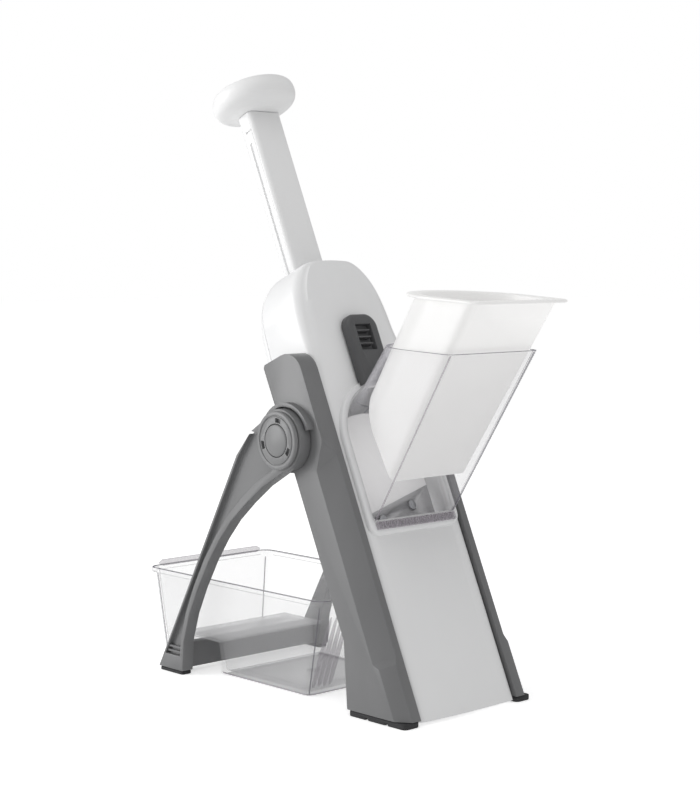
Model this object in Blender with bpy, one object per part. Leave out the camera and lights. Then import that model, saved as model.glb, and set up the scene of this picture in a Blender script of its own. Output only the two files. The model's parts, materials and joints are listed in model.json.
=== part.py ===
"""Hand-pumped vegetable slicer on a folding stand: chute, pusher, plunger, blades, rails and bin."""

import math

import bmesh
import bpy
from mathutils import Matrix, Vector

# World frame: Z up, chute side towards -Y, X across. Body frame: tilted back by LEAN about X,
# its origin on the floor under the front face, z up along the body, y towards the back.
LEAN = math.radians(24.0)
ROW_Y = -0.1069  # where the body frame's origin stands in the world
FLOOR = 0.0025  # height of the floor in the frames below
GAP = 0.0004

# Side rails
RAIL_IN = 0.0410
RAIL_OUT = 0.0545
RAIL_DEPTH = 0.0315
RAIL_TOP = 0.2390
RAIL_FLOOR = 0.0062
RAIL_SKIN = 0.0030

# Pivot of the stand, in the body frame
PIVOT_Y = 0.0262
PIVOT_Z = 0.1893
EAR_R = 0.0205
PIN_R = 0.0040

# Stand
LEG_IN = 0.0551
LEG_OUT = 0.0636
HUB_R = 0.0190
COVER_R = 0.0176
CAP_R = 0.0098
SLOT_IN = 0.0110
SLOT_OUT = 0.0136
SLOT_HALF = 11.0
HOOD_IN_R = 0.0200
HOOD_OUT_R = 0.0224
HOOD_OUT = 0.0592

# Body shells
BODY_W = 0.0402
BODY_WALL = 0.0020
SPLIT_Y = 0.0220
SPLIT_HEAD_Y = 0.0405
SPLIT_HEAD_Z = 0.2000
REAR_Y = 0.0480
REAR_SHELL_FLOOR = 0.1430
REAR_SCREWS = ((-0.0270, 0.1540), (0.0270, 0.1540), (-0.0260, 0.2440), (0.0260, 0.2440))

# Opening in the front face, and the chute on it
OPEN_W = 0.0329
OPEN_LOW = 0.1268
OPEN_SPRING = 0.1775
OPEN_TOP = 0.2104
COLLAR_Y = 0.0016
COLLAR_TOP = 0.2148
CHUTE_W = 0.0345
CHUTE_LOW = 0.1252
CHUTE_TOP = 0.2120
CHUTE_WALL = 0.0016
MOUTH_W = 0.0385
MOUTH_FRONT = -0.0162
MOUTH_SPRING = 0.0180
MOUTH_BACK = 0.0585
MOUTH_Z = 0.2180
MOUTH_RISE = 0.04
CHUTE_NECK = 0.0080
CHUTE_TILT = math.radians(33.2)

# Pusher
PUSHER_CLEAR = 0.0006
PUSHER_WALL = 0.0018
PUSHER_RAISED = 0.0230
FACE_LOW_Y = -0.0042
FACE_HIGH_Y = 0.0030
RIM_Z = 0.2292
RIM_RISE = 0.06
RIM_OUT = 0.0046
RIM_THICK = 0.0018

# Plunger
STEM_Y = 0.0300
STEM_W = 0.0265
STEM_D = 0.0135
STEM_LOW = 0.2874
STEM_TOP = 0.4103
KNOB_R = 0.0276
KNOB_TOP = 0.4288

# Cutting works
CARRIAGE_Y = 0.0045
CARRIAGE_THICK = 0.0030
CARRIAGE_W = 0.0306
BLADE_SLOPE = math.tan(math.radians(14.5))
BLADE_EDGE = 0.2180
DECK_Y = 0.0112
DECK_THICK = 0.0030
DECK_W = 0.0350
STEEL_EDGE = 0.1394
DECK_TOP = 0.1985
YOKE_LOW = 0.2790
YOKE_W = 0.0240
ADJUST_Z = 0.1600

# Chute latch
LATCH_W = 0.0130
LATCH_SPRING = 0.2482
LATCH_CORNER = 0.0085
LATCH_THICK = 0.0064
LATCH_GAP = 0.0008

# Catch bin
BIN_FLOOR_W = 0.0425
BIN_TOP_W = 0.0505
BIN_FRONT = 0.0985
BIN_BACK = 0.2440
BIN_TOP_FRONT = 0.0790
BIN_TOP_BACK = 0.2480
BIN_Z = 0.0029
BIN_TOP = 0.0655
BIN_WALL = 0.0020
BIN_TUNNEL_FRONT = 0.1825
BIN_TUNNEL_BACK = 0.2185
LIP_TOP = 0.0692

# Crossbar of the stand
BAR_FRONT = 0.2030
BAR_BACK = 0.2105
BAR_LOW = 0.0050
BAR_TOP = 0.0215


def material(name, colour, roughness, metallic=0.0, alpha=1.0, transmission=0.0):
    """A Principled BSDF material of one plain finish."""
    made = bpy.data.materials.new(name)
    made.use_nodes = True
    shader = made.node_tree.nodes["Principled BSDF"]
    shader.inputs["Base Color"].default_value = (colour[0], colour[1], colour[2], 1.0)
    shader.inputs["Roughness"].default_value = roughness
    shader.inputs["Metallic"].default_value = metallic
    shader.inputs["Alpha"].default_value = alpha
    shader.inputs["Transmission Weight"].default_value = transmission
    made.diffuse_color = (colour[0], colour[1], colour[2], alpha)
    return made


def clear_scene():
    """Empties the startup scene."""
    for obj in list(bpy.data.objects):
        bpy.data.objects.remove(obj, do_unlink=True)


def body_matrix(x=0.0, y=0.0, z=0.0):
    """World matrix of a frame at a point of the body frame, tilted as the body is."""
    tilt = Matrix.Rotation(-LEAN, 4, "X")
    stand = Matrix.Translation((0.0, ROW_Y, -FLOOR))
    return stand @ tilt @ Matrix.Translation((x, y, z))


def row_matrix(x=0.0, y=0.0, z=0.0):
    """World matrix of an upright frame at a point measured from the foot of the front face."""
    return Matrix.Translation((x, y + ROW_Y, z - FLOOR))


def body_of_row(y, z):
    """Body frame (y, z) of an upright point."""
    return (
        y * math.cos(LEAN) - z * math.sin(LEAN),
        y * math.sin(LEAN) + z * math.cos(LEAN),
    )


def row_of_body(y, z):
    """Upright (y, z) of a body frame point."""
    return (
        y * math.cos(LEAN) + z * math.sin(LEAN),
        z * math.cos(LEAN) - y * math.sin(LEAN),
    )


def loft(rings, closed_loop=False):
    """A closed bmesh through rings of equal length, capped at both ends."""
    bm = bmesh.new()
    rows = [[bm.verts.new(point) for point in ring] for ring in rings]
    count = len(rows[0])
    pairs = list(zip(rows, rows[1:]))
    if closed_loop:
        pairs.append((rows[-1], rows[0]))
    for low, high in pairs:
        for i in range(count):
            j = (i + 1) % count
            bm.faces.new((low[i], low[j], high[j], high[i]))
    if not closed_loop:
        bm.faces.new(rows[0])
        bm.faces.new(rows[-1])
    bmesh.ops.recalc_face_normals(bm, faces=bm.faces)
    return bm


def prism(outline, low, high, axis="X"):
    """A closed bmesh of a flat outline drawn out along one axis."""
    def at(pair, depth):
        if axis == "X":
            return (depth, pair[0], pair[1])
        if axis == "Y":
            return (pair[0], depth, pair[1])
        return (pair[0], pair[1], depth)

    return loft([[at(pair, low) for pair in outline], [at(pair, high) for pair in outline]])


def box(x0, x1, y0, y1, z0, z1):
    """A closed bmesh of a block."""
    return prism([(x0, y0), (x1, y0), (x1, y1), (x0, y1)], z0, z1, "Z")


def turned(profile, segments, axis="Z"):
    """A closed bmesh turned about an axis from (radius, height) pairs, lowest first."""
    rings = []
    for radius, height in profile:
        ring = []
        for i in range(segments):
            turn = 2.0 * math.pi * i / segments
            across = radius * math.cos(turn)
            along = radius * math.sin(turn)
            if axis == "X":
                ring.append((height, across, along))
            elif axis == "Y":
                ring.append((across, height, along))
            else:
                ring.append((across, along, height))
        rings.append(ring)
    return loft(rings)


def arc(cx, cy, radius, start, end, steps):
    """Points of an arc, both ends in it, angles in degrees."""
    found = []
    for i in range(steps + 1):
        turn = math.radians(start + (end - start) * i / steps)
        found.append((cx + radius * math.cos(turn), cy + radius * math.sin(turn)))
    return found


def rounded_rectangle(x0, x1, y0, y1, radius, steps=4):
    """Outline of a rectangle with round corners."""
    found = arc(x1 - radius, y0 + radius, radius, -90.0, 0.0, steps)
    found += arc(x1 - radius, y1 - radius, radius, 0.0, 90.0, steps)
    found += arc(x0 + radius, y1 - radius, radius, 90.0, 180.0, steps)
    found += arc(x0 + radius, y0 + radius, radius, 180.0, 270.0, steps)
    return found


def tombstone(half, low, spring, top, corner, steps=12):
    """Outline with a straight foot, straight sides and a round top."""
    found = arc(half - corner, low + corner, corner, -90.0, 0.0, 3)
    for i in range(steps + 1):
        turn = math.pi * i / steps
        found.append((half * math.cos(turn), spring + (top - spring) * math.sin(turn)))
    found += arc(-half + corner, low + corner, corner, 180.0, 270.0, 3)
    return found


def make(name, bm, finish, matrix=None, smooth=None):
    """An object from a bmesh, which is freed."""
    mesh = bpy.data.meshes.new(name)
    bm.to_mesh(mesh)
    bm.free()
    obj = bpy.data.objects.new(name, mesh)
    bpy.context.scene.collection.objects.link(obj)
    obj.matrix_world = matrix if matrix is not None else Matrix.Identity(4)
    if finish is not None:
        mesh.materials.append(finish)
    if smooth is not None:
        mesh.shade_smooth()
        mesh.set_sharp_from_angle(angle=math.radians(smooth))
    return obj


def cutter(name, bm, matrix=None):
    """A helper solid for a Boolean, left out of renders."""
    obj = make("cut_" + name, bm, None, matrix)
    obj.hide_render = True
    obj.display_type = "WIRE"
    return obj


def boolean(obj, other, operation="DIFFERENCE"):
    """Adds an exact Boolean of another solid."""
    step = obj.modifiers.new(other.name, "BOOLEAN")
    step.operation = operation
    step.solver = "EXACT"
    step.object = other


# ---------------------------------------------------------------- side rails


def rail_outline():
    """Side view of a rail in the body frame."""
    foot_back = body_of_row(0.0511, RAIL_FLOOR)
    foot_high = body_of_row(0.0540, 0.0470)
    foot_front = (0.0, RAIL_FLOOR / math.cos(LEAN))
    rise = math.sqrt(EAR_R ** 2 - (RAIL_DEPTH - PIVOT_Y) ** 2)
    ear_end = math.degrees(math.atan2(rise, RAIL_DEPTH - PIVOT_Y))
    found = [foot_front, foot_back, foot_high, (0.0305, 0.0740)]
    found += arc(PIVOT_Y, PIVOT_Z, EAR_R, -ear_end, ear_end, 12)
    found += [(RAIL_DEPTH + 0.0004, 0.2240), (RAIL_DEPTH + 0.0006, RAIL_TOP - 0.0015)]
    found += [(RAIL_DEPTH - 0.0010, RAIL_TOP)]
    found += arc(0.0140, RAIL_TOP - 0.0142, 0.0140, 90.0, 180.0, 6)
    return found


def rail_chamfer(side):
    """The wedge taken off a rail's front outer corner, with a step near the foot and a slanted top."""
    def ring(z_front, z_side, x_front, y_side, z_corner):
        over = 0.25
        a = Vector((x_front, 0.0, z_front))
        b = Vector((RAIL_OUT, y_side, z_side))
        past_a = a + (a - b) * over
        past_b = b + (b - a) * over
        corner = Vector((RAIL_OUT + 0.004, -0.004, z_corner))
        return [(side * p.x, p.y, p.z) for p in (past_a, past_b, corner)]

    rings = [
        ring(-0.012, -0.012, 0.0482, 0.0078, -0.012),
        ring(0.0412, 0.0412, 0.0480, 0.0080, 0.0412),
        ring(0.0456, 0.0456, 0.0460, 0.0120, 0.0456),
        ring(0.1700, 0.1640, 0.0460, 0.0120, 0.1720),
        ring(0.1800, 0.1780, 0.0542, 0.0010, 0.1840),
    ]
    return loft(rings)


def hood_outline():
    """Side view of the arc hood over a hub."""
    found = arc(PIVOT_Y, PIVOT_Z, HOOD_OUT_R, 57.0, 184.0, 14)
    found += arc(PIVOT_Y, PIVOT_Z, HOOD_IN_R, 184.0, 57.0, 14)
    return found


def build_rail(side, name, finish):
    """One side rail: its side plate, chamfer, arc hood, pivot bore and hollow inner face."""
    x_in = side * RAIL_IN
    x_out = side * RAIL_OUT
    outline = rail_outline()
    obj = make(name, prism(outline, x_in, x_out), finish, body_matrix(), 40.0)
    boolean(obj, cutter(name + "_wedge", rail_chamfer(side), body_matrix()))
    hood = prism(hood_outline(), side * (RAIL_OUT - 0.0015), side * HOOD_OUT)
    boolean(obj, cutter(name + "_hood", hood, body_matrix()), "UNION")
    low = [(0.0148, 0.0420), (0.0275, 0.0480), (0.0275, 0.1640), (0.0148, 0.1640)]
    high = [(0.0090, 0.2130), (0.0285, 0.2130), (0.0285, RAIL_TOP - 0.0030), (0.0140, RAIL_TOP - 0.0030)]
    for tag, pocket in (("low", low), ("high", high)):
        bm = prism(pocket, side * (RAIL_IN - 0.002), side * (RAIL_OUT - RAIL_SKIN))
        boolean(obj, cutter(name + "_pocket_" + tag, bm, body_matrix()))
    bore = turned([(PIN_R + GAP, -0.003), (PIN_R + GAP, RAIL_OUT - RAIL_IN + 0.006)], 24, "X")
    start = min(x_in, x_out)
    boolean(obj, cutter(name + "_bore", bore, body_matrix(start, PIVOT_Y, PIVOT_Z)))
    return obj


def build_rail_pad(side, name, finish):
    """The rubber foot under a rail."""
    outline = rounded_rectangle(RAIL_IN + 0.0004, RAIL_OUT - 0.0004, 0.0030, 0.0508, 0.0030)
    mirrored = [(side * x, y) for x, y in outline]
    obj = make(name, prism(mirrored, FLOOR, RAIL_FLOOR - GAP, "Z"), finish, row_matrix(), 40.0)
    notch_at = (0.0185, 0.0350)
    for i, y in enumerate(notch_at):
        slot = box(-0.08, 0.08, y - 0.0012, y + 0.0012, 0.0, FLOOR + 0.0012)
        boolean(obj, cutter(name + "_notch_" + str(i), slot, row_matrix()))
    return obj


# ---------------------------------------------------------------- stand


def pivot_row():
    """The stand's pivot as upright (y, z)."""
    return row_of_body(PIVOT_Y, PIVOT_Z)


def leg_outline():
    """Side view of a stand leg, upright, measured from its pivot."""
    py, pz = pivot_row()
    front = [
        (0.1974, BAR_LOW), (0.1958, 0.0250), (0.1900, 0.0430), (0.1812, 0.0610),
        (0.1705, 0.0790), (0.1590, 0.0950), (0.1470, 0.1085), (0.1330, 0.1205), (0.1170, 0.1325),
    ]
    back = [(0.1415, 0.1500), (0.2222, BAR_LOW)]
    found = [(y - py, z - pz) for y, z in front]
    found += arc(0.0, 0.0, HUB_R, -100.0, -360.0 + 33.0, 16)
    found += [(0.0268, 0.0035)]
    found += [(y - py, z - pz) for y, z in back]
    found.reverse()
    return found


def web_outline():
    """Outline of the recess in a leg's outer face, measured from the pivot. It stops at the hub's disc."""
    py, pz = pivot_row()
    front = [
        (0.2002, 0.0145), (0.1988, 0.0260), (0.1936, 0.0440), (0.1850, 0.0625), (0.1742, 0.0812),
        (0.1625, 0.0975), (0.1500, 0.1120), (0.1360, 0.1245), (0.1215, 0.1355),
    ]
    back = [(0.1278, 0.1660), (0.1400, 0.1490), (0.2153, 0.0145)]
    found = [(y - py, z - pz) for y, z in front]
    found += arc(0.0, 0.0, HUB_R + 0.0006, -70.0, 8.0, 8)
    found += [(y - py, z - pz) for y, z in back]
    found.reverse()
    return found


def build_leg(side, name, finish):
    """One leg of the stand: hub disc, tapering arm and foot, with a recessed web."""
    py, pz = pivot_row()
    where = row_matrix(0.0, py, pz)
    obj = make(name, prism(leg_outline(), side * LEG_IN, side * LEG_OUT), finish, where, 40.0)
    web = prism(web_outline(), side * (LEG_OUT - 0.0032), side * (LEG_OUT + 0.002))
    boolean(obj, cutter(name + "_web", web, where))
    bore = turned([(PIN_R + GAP, -0.070), (PIN_R + GAP, 0.070)], 24, "X")
    boolean(obj, cutter(name + "_bore", bore, where))
    return obj


def build_hub(side, tag, dark, mid):
    """The pivot pin, slotted cover and middle cap of one hub."""
    py, pz = pivot_row()
    where = row_matrix(0.0, py, pz)
    pin = turned([(PIN_R, side * 0.0435), (PIN_R, side * (LEG_OUT - 0.0003))], 24, "X")
    make("pivot_pin_" + tag, pin, dark, where, 40.0)
    x0 = side * (LEG_OUT + GAP)
    x1 = side * (LEG_OUT + GAP + 0.0018)
    x2 = side * (LEG_OUT + GAP + 0.0024)
    disc = turned([(COVER_R, x0), (COVER_R, x1), (COVER_R - 0.0012, x2)], 40, "X")
    cover = make("hub_cover_" + tag, disc, mid, where, 40.0)
    hole = turned([(CAP_R + GAP, -0.07), (CAP_R + GAP, 0.07)], 32, "X")
    boolean(cover, cutter("hub_cover_hole_" + tag, hole, where))
    for i, middle in enumerate((99.0, 209.0, 344.0)):
        slot = arc(0.0, 0.0, SLOT_OUT, middle - SLOT_HALF, middle + SLOT_HALF, 6)
        slot += arc(0.0, 0.0, SLOT_IN, middle + SLOT_HALF, middle - SLOT_HALF, 6)
        cut = prism(slot, x1 - side * 0.0009, x2 + side * 0.002)
        boolean(cover, cutter("hub_slot_" + tag + str(i), cut, where))
    cap = turned([(CAP_R, x0), (CAP_R, x2), (CAP_R - 0.0010, x2 + side * 0.0005)], 32, "X")
    make("hub_cap_" + tag, cap, mid, where, 40.0)


def build_stand(finish, rubber, dark, mid):
    """Both legs, their crossbar, foot pads and hubs."""
    for side, tag in ((-1.0, "left"), (1.0, "right")):
        build_leg(side, "stand_leg_" + tag, finish)
        build_hub(side, tag, dark, mid)
        pad = rounded_rectangle(LEG_IN + 0.0003, LEG_OUT - 0.0003, 0.1978, 0.2216, 0.0018, 3)
        mirrored = [(side * x, y) for x, y in pad]
        bm = prism(mirrored, FLOOR, BAR_LOW - GAP, "Z")
        make("stand_foot_pad_" + tag, bm, rubber, row_matrix(), 40.0)
    half = LEG_IN - GAP
    outline = rounded_rectangle(BAR_FRONT, BAR_BACK, BAR_LOW, BAR_TOP, 0.0012, 2)
    bar = make("stand_crossbar", prism(outline, -half, half), finish, row_matrix(), 40.0)
    channel = box(-half + 0.003, half - 0.003, BAR_FRONT + 0.0022, BAR_BACK - 0.0022, 0.0, BAR_TOP - 0.0025)
    boolean(bar, cutter("crossbar_channel", channel, row_matrix()))


# ---------------------------------------------------------------- body shells

# Height, half width, front setback, crown, corner radius and back of the body's outside
BODY_STATIONS = (
    (-0.0100, 0.0402, 0.0, 0.0014, 0.0030, 0.0470),
    (0.1950, 0.0402, 0.0, 0.0014, 0.0030, 0.0475),
    (0.2160, 0.0402, 0.0, 0.0020, 0.0036, 0.0480),
    (0.2280, 0.0400, 0.0, 0.0026, 0.0044, 0.0482),
    (0.2400, 0.0392, 0.0, 0.0034, 0.0054, 0.0484),
    (0.2500, 0.0386, 0.0, 0.0040, 0.0062, 0.0484),
    (0.2600, 0.0381, 0.0, 0.0042, 0.0066, 0.0480),
    (0.2690, 0.0371, 0.0, 0.0043, 0.0070, 0.0472),
    (0.2760, 0.0355, 0.0001, 0.0043, 0.0070, 0.0462),
    (0.2820, 0.0332, 0.0003, 0.0042, 0.0068, 0.0448),
    (0.2870, 0.0303, 0.0007, 0.0040, 0.0064, 0.0432),
    (0.2910, 0.0270, 0.0013, 0.0036, 0.0060, 0.0414),
    (0.2942, 0.0232, 0.0023, 0.0030, 0.0054, 0.0394),
    (0.2964, 0.0190, 0.0037, 0.0022, 0.0046, 0.0374),
    (0.2975, 0.0148, 0.0056, 0.0014, 0.0034, 0.0358),
)


def body_ring(station, inset):
    """One ring round the body, drawn in by a wall thickness."""
    z, half, setback, crown, corner, back = station
    w = half - inset
    r = max(corner - inset, 0.0012)
    y_front = setback + inset
    y_back = back - inset
    flat = w - r
    ring = []
    for i in range(9):
        x = flat * (i / 4.0 - 1.0)
        ring.append((x, y_front + crown * (x / w) ** 2))
    side_front = y_front + crown
    for x, y in arc(flat, side_front + r, r, -90.0, 0.0, 4)[1:]:
        ring.append((x, y))
    for x, y in arc(flat, y_back - r, r, 0.0, 90.0, 4):
        ring.append((x, y))
    for x, y in arc(-flat, y_back - r, r, 90.0, 180.0, 4):
        ring.append((x, y))
    for x, y in arc(-flat, side_front + r, r, 180.0, 270.0, 4)[:-1]:
        ring.append((x, y))
    return [(x, y, z) for x, y in ring]


def body_solid(inset):
    """The body's outside, or its inside when drawn in by the wall."""
    rings = []
    for station in BODY_STATIONS:
        if inset > 0.0 and station[0] > 0.2950:
            continue
        low = -0.002 if station[0] < 0.0 and inset > 0.0 else 0.0
        ring = body_ring(station, inset)
        rings.append([(x, y, z + low - inset * (station[0] > 0.27)) for x, y, z in ring])
    return loft(rings)


def stem_hole():
    """The hole that the stem slides through in the top of the head."""
    clear = 0.0005
    outline = rounded_rectangle(
        -STEM_W / 2 - clear, STEM_W / 2 + clear,
        STEM_Y - STEM_D / 2 - clear, STEM_Y + STEM_D / 2 + clear, 0.0032)
    return prism(outline, 0.25, 0.31, "Z")


def build_front_shell(finish):
    """The front half of the body: front panel, head front and the collar round its opening."""
    where = body_matrix()
    obj = make("front_shell", body_solid(0.0), finish, where, 35.0)
    boolean(obj, cutter("front_inside", body_solid(BODY_WALL), where))
    boolean(obj, cutter("front_back_head", box(-0.1, 0.1, SPLIT_HEAD_Y, 0.1, -0.05, 0.35), where))
    boolean(obj, cutter("front_back_low", box(-0.1, 0.1, SPLIT_Y, 0.1, -0.05, SPLIT_HEAD_Z), where))
    boolean(obj, cutter("stem_hole", stem_hole(), where))
    floor = box(-0.1, 0.1, -0.1, 0.1, -0.06, 0.0046)
    boolean(obj, cutter("front_floor", floor, row_matrix()))
    collar = tombstone(0.0375, 0.1176, OPEN_SPRING, COLLAR_TOP, 0.0030, 16)
    boolean(obj, cutter("collar", prism(collar, -COLLAR_Y, 0.0014, "Y"), where), "UNION")
    opening = tombstone(OPEN_W, OPEN_LOW, OPEN_SPRING, OPEN_TOP, 0.0030, 16)
    boolean(obj, cutter("opening", prism(opening, -0.010, 0.010, "Y"), where))
    slot = box(-0.0046, 0.0046, -0.006, 0.012, 0.2280, 0.2520)
    boolean(obj, cutter("latch_slot", slot, where))
    return obj


def build_rear_shell(finish):
    """The back cover of the body and head, with the spindle's hole and the screw seats."""
    where = body_matrix()
    obj = make("rear_shell", body_solid(0.0), finish, where, 35.0)
    boolean(obj, cutter("rear_inside", body_solid(BODY_WALL), where))
    half = box(-0.1, 0.1, -0.05, SPLIT_Y + GAP, -0.05, 0.35)
    boolean(obj, cutter("rear_front_half", half, where))
    head = box(-0.1, 0.1, -0.05, SPLIT_HEAD_Y + GAP, SPLIT_HEAD_Z - GAP, 0.35)
    boolean(obj, cutter("rear_front_head", head, where))
    low = box(-0.1, 0.1, -0.05, 0.1, -0.05, REAR_SHELL_FLOOR)
    boolean(obj, cutter("rear_low", low, where))
    bore = turned([(0.0034, 0.035), (0.0034, 0.055)], 20, "Y")
    boolean(obj, cutter("spindle_hole", bore, body_matrix(0.0, 0.0, ADJUST_Z)))
    for x, z in REAR_SCREWS:
        floor = REAR_Y - 0.0012
        seat = turned([(0.0016, 0.035), (0.0016, floor), (0.0030, floor), (0.0030, 0.06)], 16, "Y")
        boolean(obj, cutter("screw_seat_%d_%d" % (x * 1e4, z * 1e4), seat, body_matrix(x, 0.0, z)))
    return obj


def build_rear_screws(finish):
    """The four screws of the back cover."""
    for i, (x, z) in enumerate(REAR_SCREWS):
        under = REAR_Y - 0.0008
        profile = [(0.0013, 0.0330), (0.0013, under), (0.0026, under), (0.0026, REAR_Y + 0.0002)]
        bm = turned(profile, 16, "Y")
        obj = make("rear_screw_%d" % (i + 1), bm, finish, body_matrix(x, 0.0, z), 40.0)
        slot = box(-0.0018, 0.0018, REAR_Y - 0.0002, REAR_Y + 0.001, -0.0003, 0.0003)
        boolean(obj, cutter("screw_slot_%d" % (i + 1), slot, body_matrix(x, 0.0, z)))


# ---------------------------------------------------------------- plunger and blades


def build_plunger(finish):
    """The stem with its side groove, and the round palm knob."""
    where = body_matrix(0.0, STEM_Y, 0.0)
    outline = rounded_rectangle(-STEM_W / 2, STEM_W / 2, -STEM_D / 2, STEM_D / 2, 0.0030)
    stem = make("plunger_stem", prism(outline, STEM_LOW, STEM_TOP, "Z"), finish, where, 40.0)
    for side in (-1.0, 1.0):
        x0 = side * (STEM_W / 2 - 0.0008)
        x1 = side * (STEM_W / 2 + 0.002)
        groove = box(min(x0, x1), max(x0, x1), -0.0012, 0.0012, STEM_LOW - 0.01, STEM_TOP - 0.018)
        boolean(stem, cutter("stem_groove_%d" % (side > 0), groove, where))
    z = KNOB_TOP
    profile = [
        (0.0145, STEM_TOP + GAP), (0.0170, z - 0.0164), (0.0224, z - 0.0144), (0.0256, z - 0.0124),
        (KNOB_R - 0.0005, z - 0.0102), (KNOB_R, z - 0.0080), (KNOB_R - 0.0002, z - 0.0046),
        (KNOB_R - 0.0012, z - 0.0020), (KNOB_R - 0.0030, z - 0.0005), (0.0215, z), (0.0080, z + 0.0001),
    ]
    make("plunger_knob", turned(profile, 48, "Z"), finish, where, 50.0)


def carriage_outline():
    """Front view of the blade carriage: slanted foot, straight sides and a round top."""
    half = CARRIAGE_W
    found = [(-half, BLADE_EDGE + 0.0045 - half * BLADE_SLOPE)]
    found += [(half, BLADE_EDGE + 0.0045 + half * BLADE_SLOPE)]
    for i in range(13):
        turn = math.pi * i / 12
        found.append((half * math.cos(turn), 0.2540 + 0.0325 * math.sin(turn)))
    return found


def build_carriage(finish, steel, dark):
    """The carriage on the plunger's foot, its slanted blade and rivets."""
    where = body_matrix()
    y0 = CARRIAGE_Y + 0.0052
    y1 = y0 + CARRIAGE_THICK
    outline = carriage_outline()
    obj = make("blade_carriage", prism(outline, y0, y1, "Y"), finish, where, 40.0)
    yoke = box(-YOKE_W, YOKE_W, y1 - 0.001, STEM_Y + 0.0055, YOKE_LOW, STEM_LOW - GAP)
    boolean(obj, cutter("yoke", yoke, where), "UNION")
    y_blade = y0 - GAP
    thick = 0.0008
    low = BLADE_EDGE
    half = CARRIAGE_W - 0.0004
    rows = []
    for x in (-half, half):
        rise = low + x * BLADE_SLOPE
        rows.append([
            (x, y_blade - 0.0001, rise), (x, y_blade, rise), (x, y_blade, rise + 0.0180),
            (x, y_blade - thick, rise + 0.0180), (x, y_blade - thick, rise + 0.0022),
        ])
    blade = make("main_blade", loft(rows), steel, where, 30.0)
    for i, x in enumerate((-0.0180, 0.0, 0.0180)):
        z = low + x * BLADE_SLOPE + 0.0130
        hole = turned([(0.0017, -0.01), (0.0017, 0.02)], 16, "Y")
        at = body_matrix(x, y_blade, z)
        cut = cutter("rivet_hole_%d" % i, hole, at)
        boolean(blade, cut)
        boolean(obj, cut)
        under = -thick - GAP
        profile = [(0.0026, -thick - 0.0012), (0.0026, under), (0.0013, under), (0.0013, CARRIAGE_THICK)]
        make("blade_rivet_%d" % (i + 1), turned(profile, 16, "Y"), dark, at, 40.0)
    return obj


def build_deck(finish, steel, dark, knob_finish):
    """The landing deck behind the opening, its steel run-off plate, spindle and thickness knob."""
    where = body_matrix()
    y0 = DECK_Y + 0.0042
    y1 = y0 + DECK_THICK
    outline = tombstone(DECK_W, 0.1190, 0.1780, DECK_TOP, 0.0020, 10)
    deck = make("landing_deck", prism(outline, y0, y1, "Y"), finish, where, 40.0)
    boss = turned([(0.0060, 0.0), (0.0060, 0.0180), (0.0052, 0.0190)], 24, "Y")
    boolean(deck, cutter("deck_boss", boss, body_matrix(0.0, y1 - 0.001, ADJUST_Z)), "UNION")
    seat = turned([(0.0033, 0.004), (0.0033, 0.03)], 20, "Y")
    boolean(deck, cutter("deck_seat", seat, body_matrix(0.0, y1, ADJUST_Z)))
    y_plate = y0 - GAP
    thick = 0.0008
    half = DECK_W - 0.0010
    shape = [
        (-half, 0.1200), (half, 0.1200),
        (half, STEEL_EDGE + half * BLADE_SLOPE), (-half, STEEL_EDGE - half * BLADE_SLOPE),
    ]
    plate = make("steel_deck_plate", prism(shape, y_plate - thick, y_plate, "Y"), steel, where)
    for i, x in enumerate((-0.0112, 0.0163)):
        z = STEEL_EDGE + x * BLADE_SLOPE - 0.0070
        at = body_matrix(x, y_plate, z)
        hole = turned([(0.0020, -0.01), (0.0020, 0.01)], 16, "Y")
        cut = cutter("plate_hole_%d" % i, hole, at)
        boolean(plate, cut)
        boolean(deck, cut)
        under = -thick - GAP
        profile = [(0.0030, -thick - 0.0010), (0.0030, under), (0.0016, under), (0.0016, DECK_THICK)]
        make("deck_rivet_%d" % (i + 1), turned(profile, 16, "Y"), dark, at, 40.0)
    at = body_matrix(0.0, 0.0, ADJUST_Z)
    rod = turned([(0.0029, 0.0300), (0.0029, 0.0525)], 20, "Y")
    make("adjust_spindle", rod, dark, at, 40.0)
    low = REAR_Y + 0.0010
    profile = [(0.0110, low), (0.0120, low + 0.0010), (0.0120, low + 0.0060), (0.0108, low + 0.0072)]
    knob = make("thickness_knob", turned(profile, 36, "Y"), knob_finish, at, 40.0)
    hole = turned([(0.0032, low - 0.001), (0.0032, 0.0529)], 20, "Y")
    boolean(knob, cutter("knob_bore", hole, at))
    for i in range(9):
        turn = 2.0 * math.pi * i / 9
        notch = turned([(0.0016, low - 0.002), (0.0016, low + 0.012)], 10, "Y")
        spot = body_matrix(0.0127 * math.cos(turn), 0.0, ADJUST_Z + 0.0127 * math.sin(turn))
        boolean(knob, cutter("knob_notch_%d" % i, notch, spot))


def build_comb(steel, finish):
    """The comb that cuts slices into sticks, on its own slide below the deck."""
    where = body_matrix()
    bar = box(-0.0290, 0.0290, 0.0150, 0.0190, 0.1080, 0.1160)
    make("comb_bar", bar, finish, where)
    back = 0.0150 - GAP
    outline = [(-0.0280, back), (0.0280, back)]
    count = 10
    pitch = 0.0560 / count
    for i in reversed(range(count)):
        x = -0.0280 + pitch * i
        outline += [
            (x + pitch * 0.60, back - 0.0012), (x + pitch * 0.52, back - 0.0040),
            (x + pitch * 0.48, back - 0.0040), (x + pitch * 0.40, back - 0.0012),
        ]
    teeth = prism(outline, 0.1090, 0.1150, "Z")
    make("julienne_comb", teeth, steel, where)


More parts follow.
